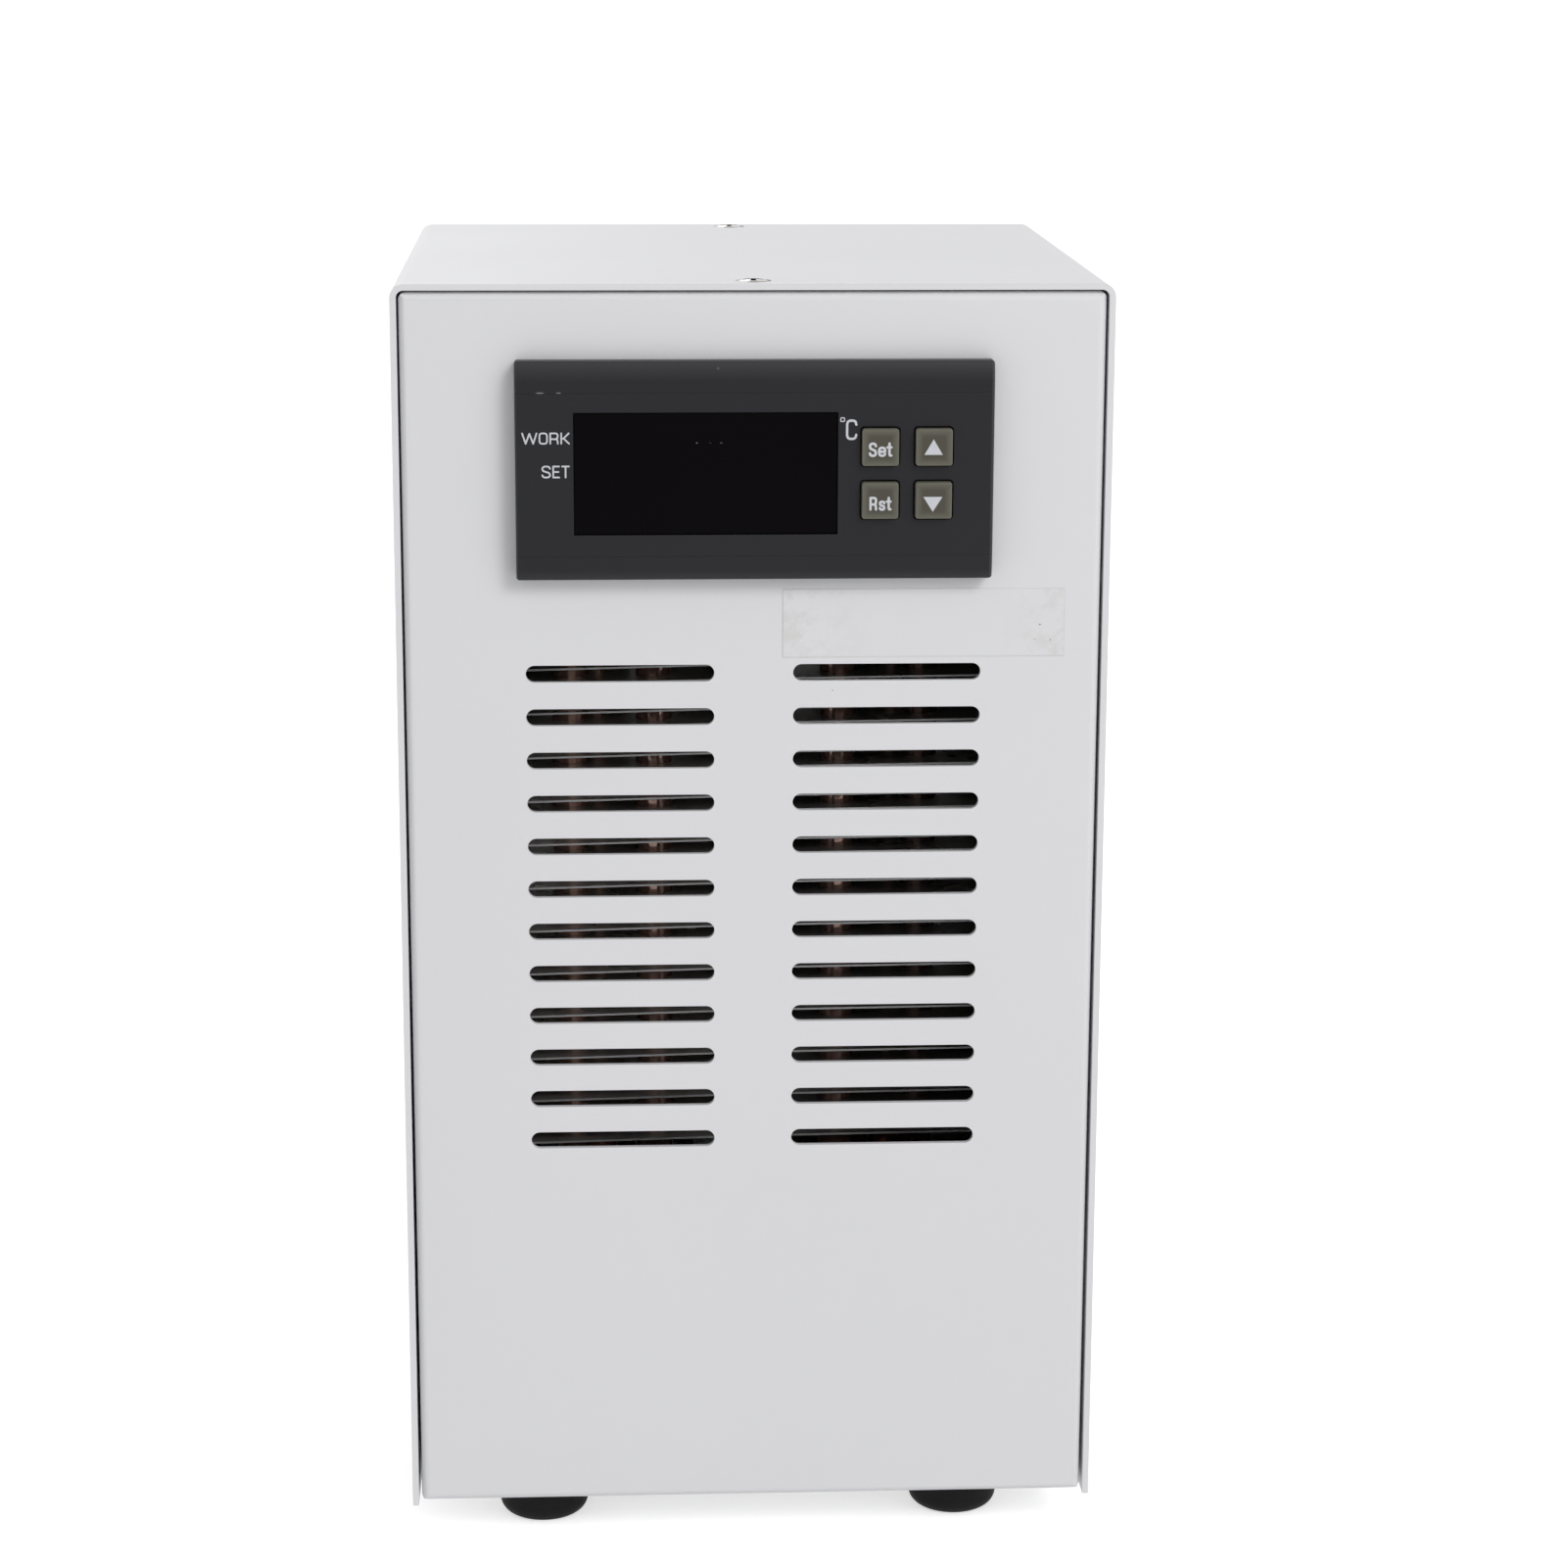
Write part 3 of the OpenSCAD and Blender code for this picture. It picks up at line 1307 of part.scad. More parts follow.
// Leads of the module, the fan, the jack and the probe, all ending at the terminal block
module wiring() color(RUBBER) {
    module_side = module_w / 2;
    module_lead_z = module_z + module_t / 2;
    red_y = stack_y - wire_d * 2;
    black_y = stack_y + wire_d * 2;
    red_back_y = fan_y + wire_tuck * 2;
    black_back_y = red_back_y + wire_tuck;
    end_y = terminal_end_y - wire_tuck;
    red_x = terminal_x(6);
    black_x = terminal_x(5);
    jack_run_y = fan_y + wire_tuck;
    fan_run_y = fan_y + fan_d / 2;
    probe_x = -block_w / 2 - probe_d / 2 - probe_clear;
    probe_front_y = stack_y - block_w / 2 - collar_t - wire_tuck;
    bent_bar([
        [module_side, red_y, module_lead_z], [side_run_x, red_y, module_lead_z],
        [side_run_x, red_y, wire_high_z], [side_run_x, red_back_y, wire_high_z],
        [red_x, red_back_y, wire_high_z], [red_x, end_y, wire_high_z]
    ], wire_d, wire_bend_r);
    bent_bar([
        [module_side, black_y, module_lead_z], [outer_run_x, black_y, module_lead_z],
        [outer_run_x, black_y, wire_high_z], [outer_run_x, black_back_y, wire_high_z],
        [black_x, black_back_y, wire_high_z], [black_x, end_y, wire_high_z]
    ], wire_d, wire_bend_r);
    bent_bar([
        [-jack_x, case_d - jack_body_len - wire_tuck, jack_z + wire_d / 2 + jack_tag_t / 2],
        [-jack_x, jack_run_y, jack_z + wire_d / 2 + jack_tag_t / 2],
        [-outer_run_x, jack_run_y, jack_z + wire_d / 2 + jack_tag_t / 2],
        [-outer_run_x, jack_run_y, wire_high_z],
        [terminal_x(0), jack_run_y, wire_high_z], [terminal_x(0), end_y, wire_high_z]
    ], wire_d, wire_bend_r);
    bent_bar([
        [-fan_w / 2, fan_run_y, fan_lead_z], [-outer_run_x, fan_run_y, fan_lead_z],
        [-outer_run_x, fan_run_y, wire_high_z], [terminal_x(2), fan_run_y, wire_high_z],
        [terminal_x(2), end_y, wire_high_z]
    ], wire_d, wire_bend_r);
    bent_bar([
        [probe_x, stack_y - probe_len / 2, port_z], [probe_x, probe_front_y, port_z],
        [-side_run_x, probe_front_y, port_z], [-side_run_x, probe_front_y, wire_low_z],
        [-side_run_x, red_back_y, wire_low_z], [-side_run_x, red_back_y, wire_high_z],
        [terminal_x(1), red_back_y, wire_high_z], [terminal_x(1), end_y, wire_high_z]
    ], wire_d, wire_bend_r);
}

place() {
    cover();
    front_panel();
    rear_panel();
    floor_tray();
    cover_top_screws();
    cover_side_screws();
    press_nuts();
    foot_front_left();
    foot_front_right();
    foot_rear_left();
    foot_rear_right();
    foot_screws();
    foot_nuts();
    blank_label();
    controller_bezel();
    controller_gasket();
    controller_housing();
    mounting_clips();
    display_window();
    display_module();
    control_boards();
    key_switches();
    key_set();
    key_reset();
    key_up();
    key_down();
    terminal_block();
    terminal_screws();
    foam_pad();
    foam_collar();
    water_block();
    block_lid();
    block_barbs();
    thermoelectric_module();
    hot_plate();
    pipe_block();
    heat_pipe_front();
    heat_pipe_outer();
    heat_pipe_middle();
    heat_pipe_rear();
    cooling_fins();
    standoffs();
    clamp_screws();
    fan_frame();
    fan_bearing();
    fan_stator();
    fan_rotor();
    fan_shaft();
    fan_guard();
    fan_screws();
    hose_tail_inlet();
    hose_tail_outlet();
    hose_tail_seals();
    hose_tail_nuts();
    inner_hoses();
    inlet_jack();
    inlet_jack_nut();
    temperature_probe();
    wiring();
}
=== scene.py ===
"""Small thermoelectric aquarium chiller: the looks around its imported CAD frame.

Metres, +Z up, front at -Y.
"""

import math

import bmesh
import bpy
from mathutils import Matrix, Vector


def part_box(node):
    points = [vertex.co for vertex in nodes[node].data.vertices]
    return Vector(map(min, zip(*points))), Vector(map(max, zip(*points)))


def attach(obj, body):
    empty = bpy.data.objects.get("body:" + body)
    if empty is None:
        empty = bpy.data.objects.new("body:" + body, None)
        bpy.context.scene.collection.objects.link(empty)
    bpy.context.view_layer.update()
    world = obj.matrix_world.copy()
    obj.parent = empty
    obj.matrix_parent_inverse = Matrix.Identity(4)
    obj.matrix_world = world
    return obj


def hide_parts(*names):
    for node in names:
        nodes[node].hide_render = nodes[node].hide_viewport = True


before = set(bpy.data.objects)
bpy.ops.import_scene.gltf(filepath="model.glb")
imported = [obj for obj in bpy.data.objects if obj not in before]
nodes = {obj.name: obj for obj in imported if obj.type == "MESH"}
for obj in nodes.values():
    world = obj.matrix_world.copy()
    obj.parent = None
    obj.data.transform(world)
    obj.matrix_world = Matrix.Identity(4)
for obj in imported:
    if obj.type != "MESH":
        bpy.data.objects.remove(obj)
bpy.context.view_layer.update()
scene = bpy.context.scene
scene.view_settings.view_transform = "Standard"

# Camera: it stands in front of the chiller, a little to the left, and looks down at it
# through a long lens. Its place was worked out from the corners seen in the photograph.
camera_place = Vector((-0.02556, -0.64174, 0.26738))
camera_yaw = math.radians(3.0401)
camera_dip = math.radians(13.3828)
camera_roll = math.radians(0.2267)
ahead = Vector((math.sin(camera_yaw) * math.cos(camera_dip),
                math.cos(camera_yaw) * math.cos(camera_dip), -math.sin(camera_dip)))
level_right = Vector((math.cos(camera_yaw), -math.sin(camera_yaw), 0))
level_up = level_right.cross(ahead)
camera_right = level_right * math.cos(camera_roll) + level_up * math.sin(camera_roll)
camera_up = level_up * math.cos(camera_roll) - level_right * math.sin(camera_roll)
lens = bpy.data.cameras.new("camera")
lens.lens = 84.33
lens.sensor_width = 36
lens.clip_start = 0.01
camera = bpy.data.objects.new("camera", lens)
turned = Matrix((camera_right, camera_up, -ahead)).transposed().to_4x4()
camera.matrix_world = Matrix.Translation(camera_place) @ turned
scene.collection.objects.link(camera)
scene.camera = camera


# Floor tray: bent steel sheet under everything else, with turned-up sides, in the same
# stove enamel as the case. The enamel's grain and tone groups and the materials' maker
# start here, because the tray is the first piece on the bench.
def add(tree, kind, sockets=None, **settings):
    """Adds a shader node. A socket's value is a number, a colour or another node's output."""
    node = tree.nodes.new("ShaderNode" + kind)
    for name, value in settings.items():
        setattr(node, name, value)
    for name, value in (sockets or {}).items():
        if isinstance(value, bpy.types.NodeSocket):
            tree.links.new(value, node.inputs[name])
        else:
            node.inputs[name].default_value = value
    return node


def own_place(tree):
    """The point that is shaded, in its object's own frame."""
    return add(tree, "TexCoord").outputs["Object"]


def reckon(tree, operation, first, second=0):
    """One step of arithmetic on numbers or sockets. Returns the result's socket."""
    return add(tree, "Math", {0: first, 1: second}, operation=operation).outputs[0]


def ramp(tree, value, start, end, low=0, high=1):
    """Goes from low to high while value goes from start to end, and stays there beyond."""
    return add(tree, "MapRange", {"Value": value, "From Min": start, "From Max": end,
                                  "To Min": low, "To Max": high}).outputs["Result"]


def new_group(name, inputs, outputs):
    """Empty shader group with named sockets. Returns the group and its two end nodes."""
    group = bpy.data.node_groups.new(name, "ShaderNodeTree")
    for label, value in inputs.items():
        socket = group.interface.new_socket(label, in_out="INPUT", socket_type="NodeSocketFloat")
        socket.default_value = value
    for label, kind in outputs.items():
        group.interface.new_socket(label, in_out="OUTPUT", socket_type="NodeSocket" + kind)
    return group, group.nodes.new("NodeGroupInput"), group.nodes.new("NodeGroupOutput")


# Fine relief: orange peel in paint, spark grain in moulded plastic, cells in foam
grain, given, out = new_group("fine_grain", {"Scale": 900, "Depth": 0.00001}, {"Normal": "Vector"})
peel = add(grain, "TexNoise", {"Vector": own_place(grain), "Scale": given.outputs["Scale"],
                               "Detail": 2.5, "Roughness": 0.55})
relief = add(grain, "Bump", {"Height": peel.outputs["Fac"], "Distance": given.outputs["Depth"]})
grain.links.new(relief.outputs["Normal"], out.inputs["Normal"])

# Slow change of tone over a surface, as paint, handling and age leave it
tone, given, out = new_group("slow_tone", {"Scale": 20, "Sharp": 0.5}, {"Tone": "Float"})
clouds = add(tone, "TexNoise", {"Vector": own_place(tone), "Scale": given.outputs["Scale"],
                                "Detail": 4, "Roughness": 0.6})
MEAN = 0.5
spread = ramp(tone, clouds.outputs["Fac"], reckon(tone, "SUBTRACT", MEAN, given.outputs["Sharp"]),
              reckon(tone, "ADD", MEAN, given.outputs["Sharp"]))
tone.links.new(spread, out.inputs["Tone"])


def finish_of(name, colours, rough, tone_scale, grain_scale, grain_depth, metallic=0, **sockets):
    """Material with two near tones of colour and roughness, mixed slowly, over a fine relief."""
    material = bpy.data.materials.new(name)
    material.use_nodes = True
    tree = material.node_tree
    shader = tree.nodes["Principled BSDF"]
    slow = add(tree, "Group", {"Scale": tone_scale, "Sharp": 0.3}, node_tree=tone)
    mixed = add(tree, "MixRGB", {"Fac": slow.outputs["Tone"], "Color1": (*colours[0], 1),
                                 "Color2": (*colours[1], 1)})
    tree.links.new(mixed.outputs["Color"], shader.inputs["Base Color"])
    tree.links.new(ramp(tree, slow.outputs["Tone"], 0, 1, *rough), shader.inputs["Roughness"])
    fine = add(tree, "Group", {"Scale": grain_scale, "Depth": grain_depth}, node_tree=grain)
    tree.links.new(fine.outputs["Normal"], shader.inputs["Normal"])
    shader.inputs["Metallic"].default_value = metallic
    for label, value in sockets.items():
        shader.inputs[label.replace("_", " ")].default_value = value
    return material


def paint_node(material, *names):
    """A CAD node whose shape is right keeps it and gets a finish."""
    for name in names:
        nodes[name].data.materials.clear()
        nodes[name].data.materials.append(material)


# Sparse dots of dust: cells whose random share passes Few, each a round dot of Size cells
dust, given, out = new_group("dust_dots", {"Scale": 400, "Size": 0.2, "Few": 0.98}, {"Mask": "Float"})
cells = add(dust, "TexVoronoi", {"Vector": own_place(dust), "Scale": given.outputs["Scale"]})
lot = add(dust, "TexWhiteNoise", {"Vector": cells.outputs["Position"]}, noise_dimensions="3D")
chosen = reckon(dust, "GREATER_THAN", lot.outputs["Value"], given.outputs["Few"])
near = reckon(dust, "LESS_THAN", cells.outputs["Distance"], given.outputs["Size"])
dust.links.new(reckon(dust, "MULTIPLY", chosen, near), out.inputs["Mask"])


def tint(material, mask, colour, share=1.0):
    """Mixes a colour over a finish where the mask, a socket of the same tree, is 1."""
    tree = material.node_tree
    base = tree.nodes["Principled BSDF"].inputs["Base Color"]
    before = base.links[0].from_socket
    part = reckon(tree, "MULTIPLY", mask, share)
    over = add(tree, "MixRGB", {"Fac": part, "Color1": before, "Color2": (*colour, 1)})
    tree.links.new(over.outputs["Color"], base)


def dotted(material, colour, scale, size, few, share=1.0):
    """Adds sparse dots of dust of one colour to a finish."""
    dots = add(material.node_tree, "Group", {"Scale": scale, "Size": size, "Few": few}, node_tree=dust)
    tint(material, dots.outputs["Mask"], colour, share)


PANEL_WHITES = [(0.80, 0.80, 0.823), (0.785, 0.785, 0.805)]
enamel = finish_of("stove_enamel", PANEL_WHITES, rough=(0.34, 0.42),
                   tone_scale=14, grain_scale=700, grain_depth=0.000012, Specular_IOR_Level=0.4)
dotted(enamel, (0.45, 0.44, 0.42), scale=160, size=0.03, few=0.965, share=0.7)
paint_node(enamel, "floor_tray")


# Feet: four moulded rubber feet, each held by a pan-head screw up through a well in the
# foot into a nut on the tray. Rubber is matt, near black and a little dusty.
rubber = finish_of("foot_rubber", [(0.008, 0.008, 0.008), (0.013, 0.013, 0.013)], rough=(0.5, 0.65),
                   tone_scale=90, grain_scale=2600, grain_depth=0.00002, Specular_IOR_Level=0.12)
zinc = finish_of("zinc_plate", [(0.74, 0.74, 0.72), (0.62, 0.63, 0.64)], rough=(0.22, 0.42),
                 tone_scale=260, grain_scale=4200, grain_depth=0.000006, metallic=1)
paint_node(rubber, "foot_front_left", "foot_front_right", "foot_rear_left", "foot_rear_right")
paint_node(zinc, "foot_screws", "foot_nuts")


# Cold side: a milled aluminium water block in closed-cell foam, with brass barbs, and the
# thermoelectric module's two ceramic plates on top of it. All of it is sealed in the case.
foam = finish_of("closed_cell_foam", [(0.035, 0.035, 0.037), (0.06, 0.06, 0.062)], rough=(0.8, 0.95),
                 tone_scale=160, grain_scale=1900, grain_depth=0.00015, Specular_IOR_Level=0.2)
aluminium = finish_of("bare_aluminium", [(0.80, 0.81, 0.82), (0.72, 0.73, 0.75)], rough=(0.24, 0.38),
                      tone_scale=70, grain_scale=2400, grain_depth=0.000008, metallic=1)
brass = finish_of("turned_brass", [(0.78, 0.60, 0.30), (0.66, 0.50, 0.25)], rough=(0.2, 0.36),
                  tone_scale=140, grain_scale=3000, grain_depth=0.000008, metallic=1)
alumina = finish_of("alumina_plate", [(0.84, 0.83, 0.79), (0.78, 0.77, 0.74)], rough=(0.5, 0.62),
                    tone_scale=120, grain_scale=3800, grain_depth=0.00001)
paint_node(foam, "foam_pad", "foam_collar")
paint_node(aluminium, "water_block", "block_lid")
paint_node(brass, "block_barbs")
paint_node(alumina, "thermoelectric_module")
paint_node(zinc, "temperature_probe")


# Hot side: a copper plate with an aluminium block that holds four bent heat pipes, and a
# tower of thin fins pressed over their uprights. It is what shows through the front slots.
copper = finish_of("dulled_copper", [(0.42, 0.22, 0.16), (0.28, 0.13, 0.09)], rough=(0.16, 0.26),
                   tone_scale=85, grain_scale=2800, grain_depth=0.000006, metallic=1)
paint_node(copper, "hot_plate")
paint_node(aluminium, "pipe_block")
paint_node(zinc, "standoffs", "clamp_screws")
MIDDLE_BAND = 0.006


def split(tree, vector):
    """A vector's X, Y and Z sockets."""
    return add(tree, "SeparateXYZ", {"Vector": vector}).outputs


def shaded(colour, share):
    """The same colour at a share of its brightness."""
    return tuple(share * part for part in colour)


def paint_right_light_and_shade(material, colour):
    """Paints light and shade on the half right of the chiller's middle line, as another colour."""
    tree = material.node_tree
    tint(material, ramp(tree, split(tree, own_place(tree))["X"], -MIDDLE_BAND, MIDDLE_BAND), colour)


# The drawn pipes are smoother than the plate. Soldering left a brown film on them, so only a share of each
# is bare metal.
# Each one's left and right upright get their own brightness, as painted light and shade.
DRAWN_COPPER = (0.44, 0.27, 0.22)
SECOND_TONE = 0.8
for node, bare, left_painted_light, right_painted_light in (
        ("heat_pipe_front", 0.45, 0.76, 0.7), ("heat_pipe_outer", 0.6, 1.35, 0.3),
        ("heat_pipe_middle", 0.6, 1.4, 0.75), ("heat_pipe_rear", 0.4, 0.5, 0.65)):
    # Painted light and shade: each upright's brightness is set by its share of the copper's colour
    left_painted_tone = shaded(DRAWN_COPPER, left_painted_light)
    drawn = finish_of(node + "_copper", [left_painted_tone, shaded(left_painted_tone, SECOND_TONE)], rough=(0.06, 0.1),
                      tone_scale=30, grain_scale=2800, grain_depth=0.000002, metallic=bare)
    paint_right_light_and_shade(drawn, shaded(DRAWN_COPPER, right_painted_light))
    paint_node(drawn, node)

# The fins were pressed on a little askew, and bent along the middle. Their cut front edges are painted near
# white, as a painted highlight where they catch the light, and their faces are smooth under a thin grey
# film, painted darker on the right as shade.
FIN_RISE = 0.0007
FIN_LEAN = 0.0222
FIN_EASE = 0.0095
CUT_DEPTH = 0.0001
FACE_METAL = 0.46
HIGHLIGHT_METAL = 0.1
fin_stock = finish_of("fin_stock", [(0.67, 0.645, 0.62), (0.61, 0.59, 0.565)], rough=(0.24, 0.3),
                      tone_scale=20, grain_scale=2400, grain_depth=0.000002)
# Painted shade: the fins right of the middle line are darker
paint_right_light_and_shade(fin_stock, (0.4, 0.385, 0.37))
tree = fin_stock.node_tree
# Painted highlight: the band along the fins' cut front edges is painted near white, with little metal
edge_highlight = reckon(tree, "LESS_THAN", split(tree, own_place(tree))["Y"],
             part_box("cooling_fins")[0].y + CUT_DEPTH)
tint(fin_stock, edge_highlight, (0.95, 0.95, 0.95))
metal = ramp(tree, edge_highlight, 0, 1, FACE_METAL, HIGHLIGHT_METAL)
tree.links.new(metal, tree.nodes["Principled BSDF"].inputs["Metallic"])
MERGE = 0.000001


def merged_copy(node):
    """Copy of a CAD node's mesh with its loose triangles joined, to be worked on."""
    bm = bmesh.new()
    bm.from_mesh(nodes[node].data)
    bmesh.ops.remove_doubles(bm, verts=bm.verts, dist=MERGE)
    return bm


def made(bm, name, *materials):
    """Turns a finished bmesh into an object of the scene."""
    mesh = bpy.data.meshes.new(name)
    bm.to_mesh(mesh)
    bm.free()
    for material in materials:
        mesh.materials.append(material)
    piece = bpy.data.objects.new(name, mesh)
    scene.collection.objects.link(piece)
    return piece


def drop_normals(mesh):
    """Takes off the normals that a CAD node came with, so that its copy gets its own."""
    if "custom_normal" in mesh.attributes:
        mesh.attributes.remove(mesh.attributes["custom_normal"])


bm = merged_copy("cooling_fins")
bmesh.ops.bisect_plane(bm, geom=bm.verts[:] + bm.edges[:] + bm.faces[:], dist=MERGE / 10,
                       plane_co=(0, 0, 0), plane_no=(1, 0, 0))
for vert in bm.verts:
    vert.co.z += FIN_RISE + vert.co.x * (FIN_LEAN if vert.co.x < 0 else FIN_EASE)
fins = made(bm, "leaning_fins", fin_stock)
drop_normals(fins.data)
fins.data.shade_flat()
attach(fins, "case")
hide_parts("cooling_fins")


# Fan: a moulded frame with the motor's plate on four struts, and a seven-blade rotor on a
# steel shaft. The copies take the small moulded radii that the plain solids leave out.
FLAT_ANGLE = math.radians(0.2)


def dressed(node, name, material, edge, steps=3, from_angle=35, body="case"):
    """Merged copy of a CAD node with its edges rounded by edge. It stands for the node."""
    bm = merged_copy(node)
    bmesh.ops.dissolve_limit(bm, angle_limit=FLAT_ANGLE, verts=bm.verts, edges=bm.edges)
    piece = made(bm, name, material)
    drop_normals(piece.data)
    piece.data.shade_smooth()
    rounded = piece.modifiers.new("edges", "BEVEL")
    rounded.width = edge
    rounded.segments = steps
    rounded.limit_method = "ANGLE"
    rounded.angle_limit = math.radians(from_angle)
    rounded.use_clamp_overlap = True
    rounded.harden_normals = True
    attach(piece, body)
    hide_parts(node)


black = finish_of("black_moulding", [(0.016, 0.016, 0.018), (0.024, 0.024, 0.026)], rough=(0.42, 0.56),
                  tone_scale=45, grain_scale=3200, grain_depth=0.000012, Specular_IOR_Level=0.45)
dressed("fan_frame", "fan_housing", black, edge=0.0004)
dressed("fan_rotor", "fan_impeller", black, edge=0.0003, body="fan_wheel")
paint_node(brass, "fan_bearing")
paint_node(copper, "fan_stator")
paint_node(zinc, "fan_shaft", "fan_screws")


# Rear panel: a folded pan in stove enamel with the fan's round opening behind a chromed
# wire guard, two brass hose tails and the power jack. Screws and nuts are zinc plated.
chrome = finish_of("bright_chrome", [(0.82, 0.82, 0.83), (0.74, 0.75, 0.77)], rough=(0.07, 0.16),
                   tone_scale=180, grain_scale=1500, grain_depth=0.000003, metallic=1)
dressed("rear_panel", "rear_pan", enamel, edge=0.0002)
paint_node(chrome, "fan_guard")
paint_node(rubber, "hose_tail_seals")
paint_node(zinc, "inlet_jack_nut")
dressed("hose_tail_inlet", "inlet_tail", brass, edge=0.00025)
dressed("hose_tail_outlet", "outlet_tail", brass, edge=0.00025)
dressed("hose_tail_nuts", "tail_nuts", brass, edge=0.0003)
dressed("inlet_jack", "power_jack", black, edge=0.0002)


# Inside runs: two milky silicone hoses from the block to the tails, and five leads that
# end at the controller's terminal block. Each lead has its own colour of insulation.
silicone = finish_of("milky_silicone", [(0.66, 0.68, 0.67), (0.60, 0.62, 0.61)], rough=(0.35, 0.5),
                     tone_scale=60, grain_scale=900, grain_depth=0.00001, Subsurface_Weight=0.2)
paint_node(silicone, "inner_hoses")
insulation = [finish_of(label, [colour, shaded(colour, SECOND_TONE)], rough=(0.4, 0.5),
                        tone_scale=50, grain_scale=1500, grain_depth=0.000008)
              for label, colour in (("red_lead", (0.45, 0.02, 0.02)), ("black_lead", (0.015, 0.015, 0.016)),
                                    ("white_lead", (0.72, 0.72, 0.70)), ("yellow_lead", (0.62, 0.46, 0.03)),
                                    ("blue_lead", (0.02, 0.07, 0.35)))]
LEAD_CREASE = math.radians(40)
bm = merged_copy("wiring")
unseen = set(bm.faces)
lead_count = 0
while unseen:
    reached = [min(unseen, key=lambda face: face.index)]
    while reached:
        face = reached.pop()
        if face in unseen:
            unseen.remove(face)
            face.material_index = lead_count % len(insulation)
            reached += [near for edge in face.edges for near in edge.link_faces if near in unseen]
    lead_count += 1
leads = made(bm, "leads", *insulation)
leads.data.shade_smooth()
leads.data.set_sharp_from_angle(angle=LEAD_CREASE)
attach(leads, "case")
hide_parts("wiring")


# Controller: a dark grey moulded bezel on a gasket, clipped through the front panel, with
# its black housing, boards, switches and terminal block behind.
MARK_CORE = 0.5


def vector_step(tree, operation, first, second=(0, 0, 0)):
    """One step of arithmetic on vectors. Returns the result's socket."""
    return add(tree, "VectorMath", {0: first, 1: second}, operation=operation).outputs["Vector"]


def marked(material, spot, half_x, half_z, colour, share=0.8):
    """Adds one small oval mark on a front face, such as a rub or a chip, around a spot."""
    tree = material.node_tree
    off = vector_step(tree, "SUBTRACT", own_place(tree), spot)
    off = vector_step(tree, "MULTIPLY", off, (1 / half_x, 0, 1 / half_z))
    away = add(tree, "VectorMath", {0: off}, operation="LENGTH").outputs["Value"]
    tint(material, ramp(tree, away, MARK_CORE, 1, low=1, high=0), colour, share)


bezel_grey = finish_of("bezel_moulding", [(0.0125, 0.0125, 0.0162), (0.0165, 0.0165, 0.0208)],
                       rough=(0.34, 0.44), tone_scale=35, grain_scale=2600, grain_depth=0.00001,
                       Specular_IOR_Level=0.2)
dotted(bezel_grey, (0.2, 0.2, 0.21), scale=210, size=0.05, few=0.95, share=0.6)
bezel_low, bezel_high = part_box("controller_bezel")
bezel_front = bezel_low.y

# The mould's parting leaves a hair line where each curved strip leaves the flat face. Its groove is bumped
# in, and painted darker as painted shade.
STRIP_LOW = 0.0038
STRIP_TOP = 0.005
HAIR_HALF = 0.00005
HAIR_END = 0.00013
HAIR_DEPTH = 0.00005
line_low = bezel_low.z + STRIP_LOW
line_top = bezel_high.z - STRIP_TOP
tree = bezel_grey.node_tree
point = split(tree, own_place(tree))
to_low = reckon(tree, "ABSOLUTE", reckon(tree, "SUBTRACT", point["Z"], line_low))
to_top = reckon(tree, "ABSOLUTE", reckon(tree, "SUBTRACT", point["Z"], line_top))
hair_groove_and_shade = ramp(tree, reckon(tree, "MINIMUM", to_low, to_top), HAIR_HALF, HAIR_END, low=1, high=0)
line = add(tree, "Bump", {"Height": hair_groove_and_shade, "Distance": HAIR_DEPTH, "Strength": 0.8}, invert=True)
shader = tree.nodes["Principled BSDF"]
tree.links.new(shader.inputs["Normal"].links[0].from_socket, line.inputs["Normal"])
tree.links.new(line.outputs["Normal"], shader.inputs["Normal"])
# Painted shade: the hair line is tinted darker
tint(bezel_grey, hair_groove_and_shade, (0.005, 0.005, 0.006), share=0.8)

# The strips' outer edges and the bezel's two sides are painted pale as painted highlights, where these faces
# turn to the light. Each row gives how far in from its edge the highlight starts and where it is full.
TOP_HIGHLIGHT = (0.0032, 0.0006)
LOW_HIGHLIGHT = (0.0015, 0.0004)
LEFT_HIGHLIGHT = (0.0003, 0.0001)
RIGHT_HIGHLIGHT = (0.0005, 0.0002)
top_highlight = ramp(tree, point["Z"], *(bezel_high.z - depth for depth in TOP_HIGHLIGHT))
low_highlight = ramp(tree, point["Z"], *(bezel_low.z + depth for depth in LOW_HIGHLIGHT))
left_highlight = ramp(tree, point["X"], *(bezel_low.x + depth for depth in LEFT_HIGHLIGHT))
right_highlight = ramp(tree, point["X"], *(bezel_high.x - depth for depth in RIGHT_HIGHLIGHT))
# Painted highlights on the strips' edges and the bezel's sides
tint(bezel_grey, top_highlight, (0.045, 0.044, 0.049), share=0.75)
tint(bezel_grey, low_highlight, (0.04, 0.04, 0.044), share=0.5)
tint(bezel_grey, reckon(tree, "ADD", left_highlight, right_highlight), (0.075, 0.075, 0.082), share=0.7)

# Two short rubs lie on the upper line near its left end
RUB_RISE = 0.0001
RUB_HALF_Z = 0.00014
for along, half_x, grey in ((0.0040, 0.0008, (0.26, 0.26, 0.27)), (0.0069, 0.0005, (0.22, 0.22, 0.23))):
    marked(bezel_grey, (bezel_low.x + along, 0, line_top + RUB_RISE), half_x, RUB_HALF_Z, grey)
resist = finish_of("solder_resist", [(0.03, 0.16, 0.06), (0.02, 0.11, 0.04)], rough=(0.3, 0.45),
                   tone_scale=150, grain_scale=1800, grain_depth=0.00001)
dressed("controller_bezel", "bezel", bezel_grey, edge=0.0003, from_angle=25)
paint_node(rubber, "controller_gasket")
paint_node(black, "controller_housing", "mounting_clips", "display_module", "key_switches",
           "terminal_block")
paint_node(resist, "control_boards")
paint_node(zinc, "terminal_screws")


